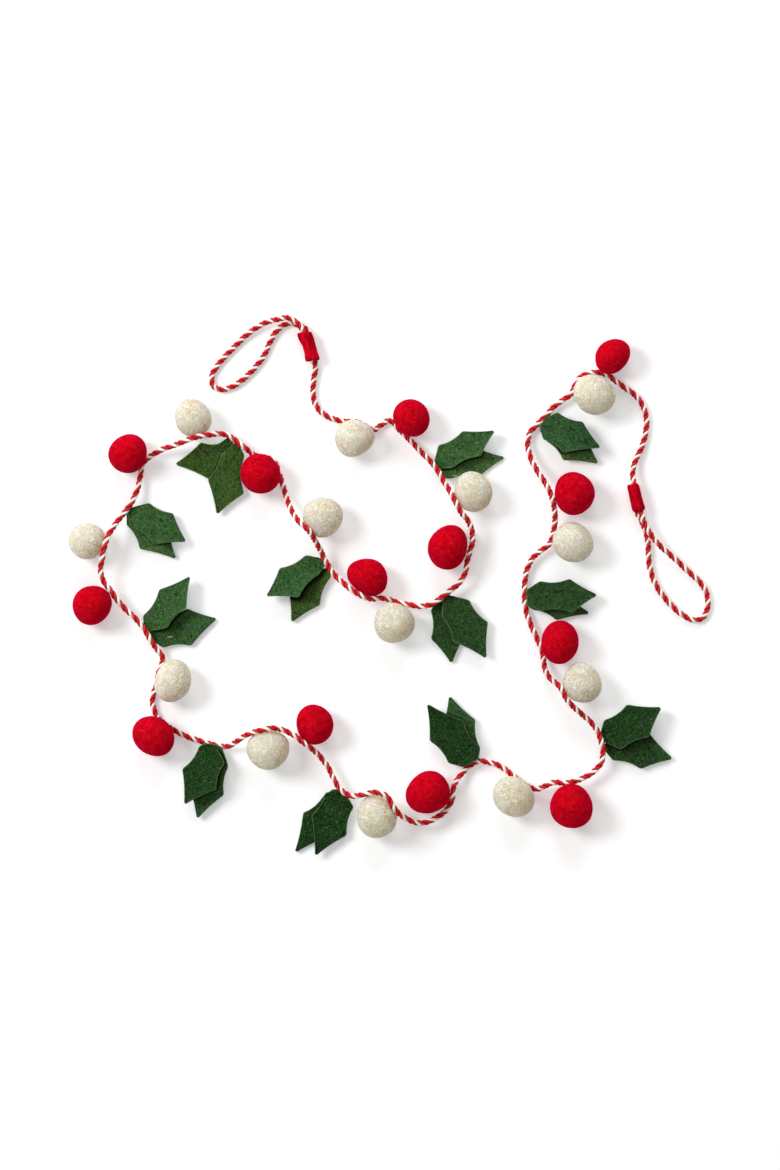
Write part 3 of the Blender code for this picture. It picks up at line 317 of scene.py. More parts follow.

# Leaf pairs along the cord. hold says whether the bases lie under or over the cord, and tilt
# how far the upper leaf's raised side is lifted at its spike, in millimetres: side b above 0,
# side a below 0. shade is a painted shade, a dark band painted on the lower leaf beside that
# side where the raised edge would shade it: its width in millimetres, and the share of the
# edge, from the base, that has none. The outlines are in picture units, as far as they show
# beside the cord: corner at the cord, near corner and spike of side a, tip, then spike, near
# corner and corner at the cord of side b.
LEAF_PAIRS = (
    # hold, tilt, painted shade, felts, upper outline, lower outline
    ("under", 2.2, (2.1, 0.1), ("light", "pale"),
     ((434, 463.5), (438.5, 445), (462.5, 431), (493.5, 431.5), (480.5, 456.5), (453, 468), (438, 468.5)),
     ((440, 470), (450, 455), (474, 446.5), (503.5, 457.5), (481.5, 474.5), (452, 478.5), (444, 478))),
    ("under", 1, None, ("deep", "deep"),
     ((450.5, 595.5), (469.5, 600), (488, 622), (485.5, 657), (453, 641.5), (441.5, 617), (443.5, 598.5)),
     ((444, 600), (460, 604), (468.5, 630), (451.5, 662), (431, 638.7), (430.8, 610.8), (434.5, 604))),
    ("under", -2.6, (4.2, 0.1), ("light", "olive"),
     ((325, 565), (319, 574.5), (299, 597.5), (267.5, 595.5), (279.5, 568), (305.5, 555), (322.5, 558.5)),
     ((331, 574), (330.5, 577.5), (320, 605), (292, 621), (288.5, 590), (305, 572), (325, 568.5))),
    ("under", 0.6, (1.5, 0.1), ("olive", "olive"),
     ((240, 446), (244.5, 456), (244, 493.5), (217.5, 513), (207.5, 479), (221, 454.5), (233, 444.5)),
     ((233, 444), (232, 458), (208.5, 479), (176.2, 464), (200.8, 442), (219, 443.5), (226, 438.5))),
    ("under", 1.8, (1.3, 0.35), ("light", "pale"),
     ((133.5, 507), (149, 502.7), (173, 513), (185, 541), (154, 545), (129.5, 526), (128, 513)),
     ((128, 512), (150, 512), (168.5, 528), (174.5, 557.5), (139.5, 549), (126.5, 525), (126.5, 519))),
    ("under", 2.4, (2.5, 0.1), ("light", "light"),
     ((143.5, 625), (143, 615.5), (159, 589.5), (189.5, 577.5), (186.8, 608.5), (167.5, 628), (149, 631.5)),
     ((148.5, 633), (160, 616), (187, 608.5), (215.3, 619), (191, 646), (163.5, 648), (151.5, 640.5))),
    ("over", -1.8, (1.9, 0.1), ("dark", "light"),
     ((215, 744), (225.3, 762.7), (216.7, 789), (185.5, 803), (182.3, 768.7), (199, 746.8), (205, 743)),
     ((222, 747), (228.5, 766.5), (224, 795), (197.5, 817.5), (188, 783), (200, 757), (215.5, 744))),
    ("under", 0.8, (0.7, 0.1), ("dark", "dark"),
     ((345.5, 794), (353.8, 807), (346.7, 835.5), (316, 854.5), (311.3, 815), (325, 793), (336, 790)),
     ((340, 792), (343, 808), (329, 837), (296, 851.5), (303, 813), (323, 796.5), (330, 791.5))),
    ("over", 1.8, (1.3, 0.25), ("dark", "light"),
     ((463, 767), (448.3, 763), (429.7, 741), (428, 705), (463.5, 720.3), (476, 743), (472.5, 763)),
     ((475, 761), (458, 755), (441, 733), (450, 697.5), (475.6, 720), (480.3, 748), (478.5, 758.5))),
    ("under", 2.2, (2.3, 0.1), ("dark", "deep"),
     ((601, 731.5), (604.3, 720), (627, 704.5), (660, 708), (648.5, 737), (621, 749.5), (604, 742)),
     ((604, 745), (618, 731), (645, 727), (671.5, 758.5), (641, 769.3), (613.3, 760.7), (606, 752))),
    ("over", 0.8, None, ("deep", "light"),
     ((526.5, 590), (540, 581), (569.5, 578.7), (595.7, 595), (572, 613), (541, 611), (526.5, 603)),
     ((527, 598), (541, 589), (563, 591), (588.3, 613), (556.5, 620.3), (534, 610), (527.5, 606))),
    ("over", 1.8, (1.8, 0.5), ("middle", "pale"),
     ((543, 419.5), (557.5, 412), (582.5, 421.7), (599, 447.3), (563, 453.3), (543, 439.7), (539.5, 426.5)),
     ((541, 423), (560, 420), (586, 433), (597.2, 462.5), (563.3, 460.3), (547, 441.5), (540, 431))),
)


def plan_point(x, y, height=0.0):
    """A picture point and its height in millimetres as a point in metres."""
    return Vector((
        (x - PICTURE_CENTRE_X) * PICTURE_STEP,
        (PICTURE_CENTRE_Y - y) * PICTURE_STEP,
        height * MM,
    ))


def smooth_step(value):
    """Ease from 0 to 1, and stay there beyond both ends."""
    value = max(0.0, min(1.0, value))
    return value * value * (3 - 2 * value)


def add_object(name, data):
    made = bpy.data.objects.new(name, data)
    bpy.context.scene.collection.objects.link(made)
    return made


def add_piece(name, data, *materials):
    for material in materials:
        data.materials.append(material)
    return add_object(name, data)


def mesh_of(name, points, faces):
    data = bpy.data.meshes.new(name)
    data.from_pydata([tuple(point) for point in points], [], faces)
    data.update()
    return data


def face_outward(data):
    mesh = bmesh.new()
    mesh.from_mesh(data)
    bmesh.ops.recalc_face_normals(mesh, faces=mesh.faces[:])
    mesh.to_mesh(data)
    mesh.free()


def ring_faces(one, other, count):
    """Faces between two closed rings of points, by the number of each ring's first point."""
    faces = []
    for place in range(count):
        beside = (place + 1) % count
        faces.append((one + place, one + beside, other + beside, other + place))
    return faces


def set_inputs(node, values):
    for name, value in values.items():
        node.inputs[name].default_value = value


# Camera, lights and floor

def make_camera():
    data = bpy.data.cameras.new("camera")
    data.sensor_width = CAMERA_SENSOR
    data.lens = CAMERA_SENSOR * CAMERA_DISTANCE / (PICTURE_HEIGHT * PICTURE_STEP)
    camera = add_object("camera", data)
    place = plan_point(PICTURE_WIDTH / 2, PICTURE_HEIGHT / 2)
    camera.location = (place.x, place.y, CAMERA_DISTANCE + SHARP_HEIGHT)
    bpy.context.scene.camera = camera


def add_lamp(name, way, tilt, size, power):
    data = bpy.data.lights.new(name, "AREA")
    data.shape = "DISK"
    data.size = size
    data.energy = power
    lamp = add_object(name, data)
    place = Vector((*way, 0.0)).normalized() * math.sin(math.radians(tilt))
    place.z = math.cos(math.radians(tilt))
    lamp.location = place * LIGHT_DISTANCE
    lamp.rotation_euler = place.to_track_quat("Z", "Y").to_euler()
    lamp.visible_camera = False


def make_light():
    scene = bpy.context.scene
    scene.view_settings.view_transform = "Standard"
    world = bpy.data.worlds.new("sky")
    world.use_nodes = True
    sky = {"Color": (*SKY_COLOUR, 1.0), "Strength": SKY_STRENGTH}
    set_inputs(world.node_tree.nodes["Background"], sky)
    scene.world = world
    for name, lamp in LAMPS.items():
        add_lamp(name, *lamp)


def make_floor():
    half = FLOOR_HALF
    corners = [(-half, -half, 0.0), (half, -half, 0.0), (half, half, 0.0), (-half, half, 0.0)]
    material = bpy.data.materials.new("floor_white")
    material.use_nodes = True
    set_inputs(material.node_tree.nodes["Principled BSDF"], {
        "Base Color": (FLOOR_WHITE, FLOOR_WHITE, FLOOR_WHITE, 1.0),
        "Roughness": 0.9,
        "Specular IOR Level": 0.0,
        "Emission Color": (*FLOOR_GLOW_COLOUR, 1.0),
        "Emission Strength": FLOOR_GLOW,
    })
    floor = add_piece("floor", mesh_of("floor", corners, [(0, 1, 2, 3)]), material)


# Materials

class Shading:
    """A Principled material and short ways to add nodes to it."""

    def __init__(self, name, roughness, specular, sheen=0.0, sheen_tint=(1.0, 1.0, 1.0)):
        self.material = bpy.data.materials.new(name)
        self.material.use_nodes = True
        self.tree = self.material.node_tree
        self.shader = self.tree.nodes["Principled BSDF"]
        set_inputs(self.shader, {
            "Roughness": roughness,
            "Specular IOR Level": specular,
            "Sheen Weight": sheen,
            "Sheen Roughness": 0.5,
            "Sheen Tint": (*sheen_tint, 1.0),
        })
        self.place = self.node("TexCoord").outputs["Object"]

    def node(self, kind, inputs=(), **settings):
        """Add a node; inputs pairs an input's name or number with a value or a socket."""
        made = self.tree.nodes.new("ShaderNode" + kind)
        for key, value in settings.items():
            setattr(made, key, value)
        for key, value in dict(inputs).items():
            self.link(value, made.inputs[key])
        return made

    def link(self, value, socket):
        if isinstance(value, bpy.types.NodeSocket):
            self.tree.links.new(value, socket)
        else:
            socket.default_value = value

    def math(self, operation, one, other=0.0):
        return self.node("Math", {0: one, 1: other}, operation=operation).outputs[0]

    def times(self, one, other):
        return self.math("MULTIPLY", one, other)

    def plus(self, one, other):
        return self.math("ADD", one, other)

    def split_uv(self, layer):
        uv = self.node("UVMap", uv_map=layer).outputs["UV"]
        return self.node("SeparateXYZ", {0: uv}).outputs[:2]

    def spots(self, scale, detail=2.0, roughness=0.5, turn=(0, 0, 0), stretch=1.0, bend=0.0):
        """Cloudy noise from 0 to 1; scale is in cells a metre, stretch lengthens them in y."""
        mapping = self.node("Mapping", {
            "Vector": self.place,
            "Rotation": [math.radians(angle) for angle in turn],
            "Scale": (1.0, stretch, 1.0),
        }, vector_type="TEXTURE")
        return self.node("TexNoise", {
            "Vector": mapping.outputs["Vector"],
            "Scale": scale,
            "Detail": detail,
            "Roughness": roughness,
            "Distortion": bend,
        }).outputs["Fac"]

    def spread(self, value, low, high):
        """Stretch a value so that low becomes 0 and high becomes 1, and clamp it."""
        limits = {"Value": value, "From Min": low, "From Max": high}
        return self.node("MapRange", limits, interpolation_type="SMOOTHSTEP").outputs["Result"]

    def mix(self, share, one, other):
        one, other = (
            value if isinstance(value, bpy.types.NodeSocket) else (*value, 1.0)
            for value in (one, other)
        )
        return self.node("Mix", {0: share, 6: one, 7: other}, data_type="RGBA").outputs[2]

    def lay(self, place, strength, under, over):
        """Lay a colour over another one, as strong as this where place is 1."""
        return self.mix(self.times(place, strength), under, over)

    def fibres(self, scale, stretch):
        """Wool fibres that lie every way: the strongest of several stretched noises."""
        strongest = 0.0
        for turn in ((0, 0, 20), (0, 0, 80), (0, 0, 140), (70, 35, 0), (-60, 0, 50)):
            strands = self.spots(scale, 2.0, 0.55, turn, stretch, 0.3)
            strongest = self.math("MAXIMUM", strongest, strands)
        return strongest

    def creases(self, scale, width):
        """Thin winding lines, 1 along their middle: where a cloudy noise is at its mean."""
        offset = self.math("SUBTRACT", self.spots(scale, bend=1.2), 0.5)
        return self.spread(self.math("ABSOLUTE", offset), width, 0.0)

    def glow_through(self, weight, radius, scale):
        """Light that spreads under the surface."""
        set_inputs(self.shader, {
            "Subsurface Weight": weight, "Subsurface Radius": radius, "Subsurface Scale": scale,
        })

    def colour(self, value):
        self.link(value, self.shader.inputs["Base Color"])

    def bump(self, height, distance):
        made = self.node("Bump", {"Height": height, "Distance": distance, "Strength": 1.0})
        self.link(made.outputs["Normal"], self.shader.inputs["Normal"])


def scaled(colour, factor):
    return tuple(channel * factor for channel in colour)


def ball_red():
    felt = Shading("felt_red", 0.9, 0.0, 0.10, RED_SHEEN)
    cloud = felt.spread(felt.spots(300), 0.3, 0.7)
    fibres = felt.spread(felt.fibres(1500, 7.0), 0.60, 0.78)
    felt.colour(felt.lay(fibres, 0.55, felt.mix(cloud, RED_DARK, RED_LIGHT), RED_FIBRE))
    felt.bump(felt.plus(felt.spots(650, 3.0, 0.6), felt.times(fibres, 0.30)), 0.22 * MM)
    return felt.material


def ball_cream():
    felt = Shading("felt_cream", 0.95, 0.0, 0.5, CREAM_SHEEN)
    felt.glow_through(0.58, CREAM_GLOW, 20 * MM)
    cloud = felt.spread(felt.spots(110), 0.36, 0.68)
    fibres = felt.spread(felt.fibres(1300, 7.0), 0.60, 0.80)
    small_cracks = felt.times(felt.creases(600, 0.060), 0.7)
    cracks = felt.math("MAXIMUM", felt.creases(330, 0.045), small_cracks)
    # Painted shade: the creases are coloured a darker tan, as shade falling into them.
    crease_shade = felt.times(cracks, felt.plus(0.28, felt.times(cloud, 0.50)))
    body = felt.mix(crease_shade, felt.mix(cloud, CREAM_LIGHT, CREAM_DARK), CREAM_CREASE_SHADE)
    felt.colour(felt.lay(fibres, 0.50, body, CREAM_FIBRE))
    height = felt.math("SUBTRACT", felt.spots(420, 1.0, bend=1.0), felt.times(cracks, 0.6))
    felt.bump(felt.plus(height, felt.times(fibres, 0.15)), 1.25 * MM)
    return felt.material


def leaf_green(name, body, blue, yellow, rim_share):
    """Heathered felt: two greens, specks, a paler cut edge that is partly painted highlight, and a painted
    shade beside a raised leaf.
    """
    felt = Shading(name, 0.95, 0.05, 0.05, LEAF_SHEEN)
    cloud = felt.spread(felt.spots(120), 0.3, 0.7)
    blues = felt.spread(felt.spots(400, 3.0, 0.6, bend=0.6), 0.48, 0.64)
    yellows = felt.spread(felt.fibres(1100, 5.0), 0.60, 0.76)
    dark = felt.spread(felt.spots(880, 3.0, 0.75, (0, 0, 30), 2.2, 1.2), 0.53, 0.38)
    light = felt.spread(felt.spots(900, 3.0, 0.70, (0, 0, 115), 2.6, 1.5), 0.54, 0.68)
    # gap carries the painted shade beside the upper leaf's raised edge, rim the pale cut edge.
    rim, gap = felt.split_uv("edge")
    rim_patches = felt.spread(felt.spots(300, 2.0, 0.6, bend=0.8), 0.40, 0.58)
    rim = felt.times(felt.spread(rim, 0.5, 1.0), felt.plus(0.50, felt.times(rim_patches, 0.60)))
    fleck = (body[0] * 1.7 + 0.080, body[1] * 0.9 + 0.110, body[2] * 1.7 + 0.060)
    tone = felt.mix(cloud, scaled(body, 0.86), scaled(body, 1.10))
    tone = felt.lay(blues, 0.65, tone, blue)
    tone = felt.lay(yellows, 0.65, tone, yellow)
    tone = felt.lay(dark, 0.90, tone, scaled(body, 0.12))
    tone = felt.lay(light, 0.75, tone, fleck)
    # The pale rim is partly the felt's own cut edge and partly a painted highlight.
    tone = felt.lay(rim, rim_share, tone, LEAF_RIM_AND_HIGHLIGHT)
    # Painted shade: near black laid on the lower leaf beside the upper leaf's raised edge.
    felt.colour(felt.lay(felt.spread(gap, 1.0, 0.25), 0.92, tone, LEAF_PAINTED_SHADE))
    felt.bump(felt.plus(felt.spots(750, 3.0, 0.7), felt.times(yellows, 0.3)), 0.70 * MM)
    return felt.material


def sleeve_red():
    """Felt strip with lengthwise pulls, deeper than the balls' felt."""
    felt = Shading("felt_wrap", 0.9, 0.0, 0.08, RED_SHEEN)
    pulls = felt.spread(felt.spots(620, 3.0, 0.6, (0, 0, SLEEVE_PULL_TURN), 7.0), 0.35, 0.65)
    fibres = felt.spread(felt.fibres(1500, 6.0), 0.60, 0.78)
    felt.colour(felt.lay(fibres, 0.40, felt.mix(pulls, SLEEVE_DARK, SLEEVE_LIGHT), SLEEVE_FIBRE))
    felt.bump(felt.plus(pulls, felt.times(fibres, 0.4)), 0.30 * MM)
    return felt.material


def cord_ply(name, valley, body, crest_highlight, glow):
    """One ply with slanting strands: painted shade toward its neighbours and a painted highlight on its
    crest.
    """
    ply = Shading(name, 0.42, 0.20)
    place, reach = ply.split_uv("yarn")
    across = ply.times(place, 4.0)
    ridge = ply.times(across, ply.math("SUBTRACT", 1.0, place))
    turns = ply.plus(across, ply.times(reach, 160.0))
    strands = ply.spread(ply.math("SINE", ply.times(turns, 2 * math.pi)), -0.9, 0.9)
    hairs = ply.spots(1900, 2.0, 0.6)
    # Painted shade: the ply is darkened toward the valleys beside its neighbours.
    tone = ply.mix(ply.spread(ridge, 0.0, 0.62), valley, body)
    painted_gloss = ply.plus(0.35, ply.times(strands, 0.65))
    # Painted highlight: the crest is lightened, streaked by the strands.
    tone = ply.lay(ply.spread(ridge, 0.55, 1.0), painted_gloss, tone, crest_highlight)
    ply.colour(ply.lay(ply.spread(hairs, 0.5, 0.75), 0.18, tone, crest_highlight))
    ply.glow_through(glow, (1.0, 0.9, 0.8), 1.2 * MM)
    ply.bump(ply.plus(strands, ply.times(hairs, 0.5)), 0.10 * MM)
    return ply.material


def plain_fibre(name, colour):
    wool = Shading(name, 0.8, 0.2, 0.3)
    wool.colour(wool.mix(wool.spread(wool.spots(900), 0.3, 0.7), scaled(colour, 0.7), colour))
    return wool.material


# Cord

def sleeve_frame(name):
    """Middle, direction down the picture, direction to its right, length and higher side."""
    x_top, y_top, x_bottom, y_bottom, high_side = SLEEVES[name]
    top = plan_point(x_top, y_top)
    bottom = plan_point(x_bottom, y_bottom)
    along = (bottom - top).normalized()
    right = Vector((-along.y, along.x, 0.0))
    outer_radius = SLEEVE_CHANNEL_RADIUS + SLEEVE_WALL
    centre = (top + bottom) / 2
    centre.z = FLOOR_GAP + outer_radius + SLEEVE_CHANNEL_PITCH / 2 * math.sin(SLEEVE_TILT)
    return centre, along, right, (bottom - top).length, high_side


def channel_points(name, way, top_reach, bottom_reach):
    """Three points of a cord leg in the higher (1) or lower (-1) channel, from the top down."""
    centre, along, right, length, high_side = sleeve_frame(name)
    offset = right * (way * high_side * math.cos(SLEEVE_TILT))
    offset.z = way * math.sin(SLEEVE_TILT)
    middle = centre + offset * (SLEEVE_CHANNEL_PITCH / 2)
    top = middle - along * (length / 2 + top_reach)
    bottom = middle + along * (length / 2 + bottom_reach)
    return [top, middle, bottom]


def route_points():
    """The cord's route from end to end, through both loops and all four channels."""
    reach, inset = CORD_MOUTH_REACH, -CORD_END_INSET
    return [
        *channel_points("wrap_start", 1, reach, inset)[::-1],
        *(plan_point(*row) for row in START_LOOP),
        *channel_points("wrap_start", -1, reach, reach),
        *(plan_point(*row) for row in MAIN_RUN),
        *channel_points("wrap_end", 1, reach, reach),
        *(plan_point(*row) for row in END_LOOP),
        *channel_points("wrap_end", -1, inset, reach)[::-1],
    ]


def smooth_run(points):
    """Samples of a centripetal Catmull-Rom curve through the points."""
    ends = [2 * points[0] - points[1], *points, 2 * points[-1] - points[-2]]
    samples = []
    for index in range(len(points) - 1):
        a, b, c, d = ends[index:index + 4]
        t_b = math.sqrt((b - a).length)
        t_c = t_b + math.sqrt((c - b).length)
        t_d = t_c + math.sqrt((d - c).length)
        for step in range(CORD_FINE_STEPS):
            t = t_b + (t_c - t_b) * step / CORD_FINE_STEPS
            ab = a.lerp(b, t / t_b)
            bc = b.lerp(c, (t - t_b) / (t_c - t_b))
            cd = c.lerp(d, (t - t_c) / (t_d - t_c))
            abc = ab.lerp(bc, t / t_c)
            bcd = bc.lerp(cd, (t - t_b) / (t_d - t_b))
            samples.append(abc.lerp(bcd, (t - t_b) / (t_c - t_b)))
    samples.append(points[-1])
    return np.array(samples)


def cord_line():
    """Ring centres, the turn at each ring in radians, and the cord's length."""
    samples = smooth_run(route_points())
    reach = np.concatenate(([0.0], np.cumsum(np.linalg.norm(np.diff(samples, axis=0), axis=1))))
    length = reach[-1]
    fine = np.linspace(0.0, length, CORD_FINE_SAMPLES)
    places, lays = np.array(CORD_LAYS).T * MM
    lay = np.interp(fine, places, lays)
    turned = np.concatenate(([0.0], np.cumsum(np.diff(fine) / ((lay[1:] + lay[:-1]) / 2))))
    count = int(turned[-1] * CORD_RINGS_A_TURN)
    turns = np.linspace(0.0, turned[-1], count + 1)
    along = np.interp(turns, turned, fine)
    line = np.stack([np.interp(along, reach, samples[:, axis]) for axis in range(3)], axis=1)
    return line, turns * 2 * math.pi, length


def cross_directions(line):
    """Two directions across the run at each point, which don't spin about it."""
    tangents = np.gradient(line, axis=0)
    tangents /= np.linalg.norm(tangents, axis=1)[:, None]
    first = np.cross(tangents[0], (0.0, 0.0, 1.0))
    first /= np.linalg.norm(first)
    firsts = [first]
    for tangent in tangents[1:]:
        first = first - tangent * first.dot(tangent)
        first = first / np.linalg.norm(first)
        firsts.append(first)
    return np.array(firsts), np.cross(tangents, firsts)


def ply_columns():
    """Angle, radius, ply and place across the ply of each point round the cord."""
    columns = []
    start = 0.0
    for ply, turn in enumerate(PLY_TURNS):
        half = math.radians(turn / 2)
        valley_x = CORD_VALLEY * math.cos(half)
        valley_y = CORD_VALLEY * math.sin(half)
        middle = (CORD_RADIUS ** 2 - CORD_VALLEY ** 2) / (2 * (CORD_RADIUS - valley_x))
        radius = CORD_RADIUS - middle
        reach = math.atan2(valley_y, valley_x - middle)
        for step in range(PLY_STEPS):
            place = step / PLY_STEPS
            way = reach * (2 * place - 1)
            x = middle + radius * math.cos(way)
            y = radius * math.sin(way)
            columns.append((start + half + math.atan2(y, x), math.hypot(x, y), ply, place))
        start += 2 * half
    return columns


def make_cord(line, turns, length, materials):
    angles, radii, plies, places = np.array(ply_columns()).T
    firsts, seconds = cross_directions(line)
    rings = len(line)
    count = len(angles)
    ways = (turns[:, None] + angles)[:, :, None]
    across = np.cos(ways) * firsts[:, None, :] + np.sin(ways) * seconds[:, None, :]
    points = line[:, None, :] + radii[None, :, None] * across
    reach = np.linspace(0.0, length, rings)
    faces = []
    slots = []
    uvs = []
    for column, left in enumerate(places):
        right = left + 1 / PLY_STEPS
        beside = (column + 1) % count - column
        for ring in range(rings - 1):
            a = ring * count + column
            faces.append((a, a + beside, a + beside + count, a + count))
            start, end = reach[ring:ring + 2]
            uvs += [(left, start), (right, start), (right, end), (left, end)]
        slots += [min(1, int(plies[column]))] * (rings - 1)
    faces.append(tuple(range(count))[::-1])
    faces.append(tuple(range((rings - 1) * count, rings * count)))
    slots += [1, 1]
    uvs += [(0.5, 0.0)] * (2 * count)
    data = mesh_of("twisted_cord", points.reshape(-1, 3), faces)
    layer = data.uv_layers.new(name="yarn")
    layer.data.foreach_set("uv", np.array(uvs, dtype=np.float32).ravel())
    data.polygons.foreach_set("material_index", np.array(slots, dtype=np.int32))
    data.shade_smooth()
    ends = np.zeros(len(data.edges) * 2, dtype=np.int32)
    data.edges.foreach_get("vertices", ends)
    ends = ends.reshape(-1, 2) % count
    valley = (ends[:, 0] == ends[:, 1]) & (ends[:, 0] % PLY_STEPS == 0)
    sharp = data.attributes.new("sharp_edge", "BOOLEAN", "EDGE")
    sharp.data.foreach_set("value", valley)
    data.update()
    cord = add_piece("twisted_cord", data, *materials)
    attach(cord, "root")
    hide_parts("cord")
    tuple(line[0])
    [tuple(point) for point in line]


class CordSearch:
    """Nearest points of the cord's middle line, in space or in plan."""

    def __init__(self, line):
        self.line = line
        self.solid = KDTree(len(line))
        self.plan = KDTree(len(line))
        for index, (x, y, z) in enumerate(line):
            self.solid.insert((x, y, z), index)
            self.plan.insert((x, y, 0.0), index)
        self.solid.balance()
        self.plan.balance()

    def nearest(self, point):
        place, _, distance = self.solid.find(point)
        return place, distance

    def over(self, point):
        """The cord's height over a plan point and the plan distance to it."""
        _, index, distance = self.plan.find((point[0], point[1], 0.0))
        return self.line[index][2], distance


# Balls

def ball_mesh(name, row):
    """A ball's surface before the cord dents it, round its own centre, and that centre."""
    x, y, length, width, turn, corner, corner_turn = row
    length *= MM
    width *= MM
    height = (length + width) / 2 * BALL_HEIGHT_SHARE
    low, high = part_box(name)
    centre = (low + high) / 2
    centre.z = high.z - height / 2
    mesh = bmesh.new()
    bmesh.ops.create_icosphere(mesh, subdivisions=BALL_DETAIL, radius=1.0)
    angle = math.radians(turn)
    seed = Vector((x * 0.37, y * 0.53, x - y))
    cream = "cream" in name
    lumps = 1.0 if cream else RED_LUMPS
    wide_depth, middle_depth, small_depth = LUMP_DEPTHS
    for vertex in mesh.verts:
        way = vertex.co.copy()
        wide, middle, small = (noise.noise(way * scale + seed) for scale in LUMP_SCALES)
        swell = 1.0 + wide_depth * wide + (middle_depth * middle + small_depth * small) * lumps
        if cream:
            bent = way * WRINKLE_SCALE + seed + Vector((middle, small, wide)) * 0.8
            crease = abs(noise.noise(bent)) / WRINKLE_WIDTH
            swell += CREAM_GRAIN * small - WRINKLE_DEPTH * max(0.0, 1.0 - crease)
        long_way = way.x * length / 2
        short_way = way.y * width / 2
        right = long_way * math.cos(angle) - short_way * math.sin(angle)
        up = long_way * math.sin(angle) + short_way * math.cos(angle)
        swell_way = math.atan2(up, right) - math.radians(corner_turn)
        cornered = 1.0 + corner / 100 * math.cos(3 * swell_way)
        vertex.co = Vector((right * cornered, up * cornered, way.z * height / 2)) * swell
    return mesh, centre


def dent_ball(mesh, centre, search):
    """Bring the felt to the cord, and press it in where the cord lies on it."""
    wanted = CORD_RADIUS + DENT_GAP
    reach = wanted + DENT_REACH
    found = [search.nearest(vertex.co + centre) for vertex in mesh.verts]
    place, distance = min(found, key=lambda pair: pair[1])
    gap = distance - wanted
    way = (place - centre).normalized()
    if gap > 0:
        cone, run = PULL_CONE
        for vertex in mesh.verts:
            share = vertex.co.normalized().dot(way)
            vertex.co += way * (gap * smooth_step((share - cone) / run))
    for vertex in mesh.verts:
        place, distance = search.nearest(vertex.co + centre)
        if distance < reach:
            away = (vertex.co + centre - place).normalized()
            push = max(0.0, wanted - distance) + DENT_DEPTH * (reach - distance) / reach
            vertex.co += away * push


def make_ball(name, row, material, search):
    mesh, centre = ball_mesh(name, row)
    dent_ball(mesh, centre, search)
    floor = -centre.z + BALL_FLOOR_GAP
    for vertex in mesh.verts:
        vertex.co.z = max(vertex.co.z, floor)
        vertex.co += centre
    data = bpy.data.meshes.new(name + "_felt")
    mesh.to_mesh(data)
    mesh.free()
    data.shade_smooth()
    piece = add_piece(name + "_felt", data, material)
    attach(piece, "root")
    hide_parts(name)
    return piece


# Leaves

def hollow_run(start, end, inside, depth_share, steps):
    """Points from start up to, but not at, end along a shallow hollow."""
    chord = end - start
    inward = Vector((-chord.y, chord.x, 0.0)).normalized()
    if inward.dot(inside - start) < 0:
        inward = -inward
    depth = chord.length * depth_share
    run = []
    for step in range(steps):
        share = step / steps
        run.append(start + chord * share + inward * (depth * 4 * share * (1 - share)))
    return run


def ease_corners(edge):
    """Round each corner a little by drawing every point toward its neighbours."""
    eased = [point.copy() for point in edge]
    for index in range(1, len(edge) - 1):
        eased[index] = edge[index] * 0.5 + (edge[index - 1] + edge[index + 1]) * 0.25
    return eased


def leaf_edges(outline, hold):
    """Base, tip and both edges of a leaf, from base to tip, flat on the surface."""
    spots = [plan_point(*spot) for spot in outline]
    tip = spots[3]
    sides = (spots[:3], spots[:3:-1])
    if hold == "under":
        for corners in sides:
            corners[0] = corners[0] + (corners[0] - corners[1]).normalized() * LEAF_RUN_UNDER
    base = sides[0][0].lerp(sides[1][0], 0.5)
    along = (tip - base).normalized()
    sideways = Vector((-along.y, along.x, 0.0))
    middle = base.lerp(tip, 0.5)
    edges = []
    for corners, way in zip(sides, (1, -1)):
        corners.append(tip + sideways * (way * LEAF_TIP_HALF_WIDTH))
        edge = []
        for start, end, hollow, steps in zip(corners, corners[1:], LEAF_HOLLOWS, LEAF_EDGE_STEPS):
            edge += hollow_run(start, end, middle, hollow, steps)
        edges.append(ease_corners(edge + corners[-1:]))
    return base, tip, edges


def node_plane(name):
    """Height of a leaf node's middle plane: constant, x and y slopes."""
    points = np.array([vertex.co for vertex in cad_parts[name].data.vertices])
    terms = np.stack([np.ones(len(points)), points[:, 0], points[:, 1]], axis=1)
    return np.linalg.lstsq(terms, points[:, 2], rcond=None)[0]


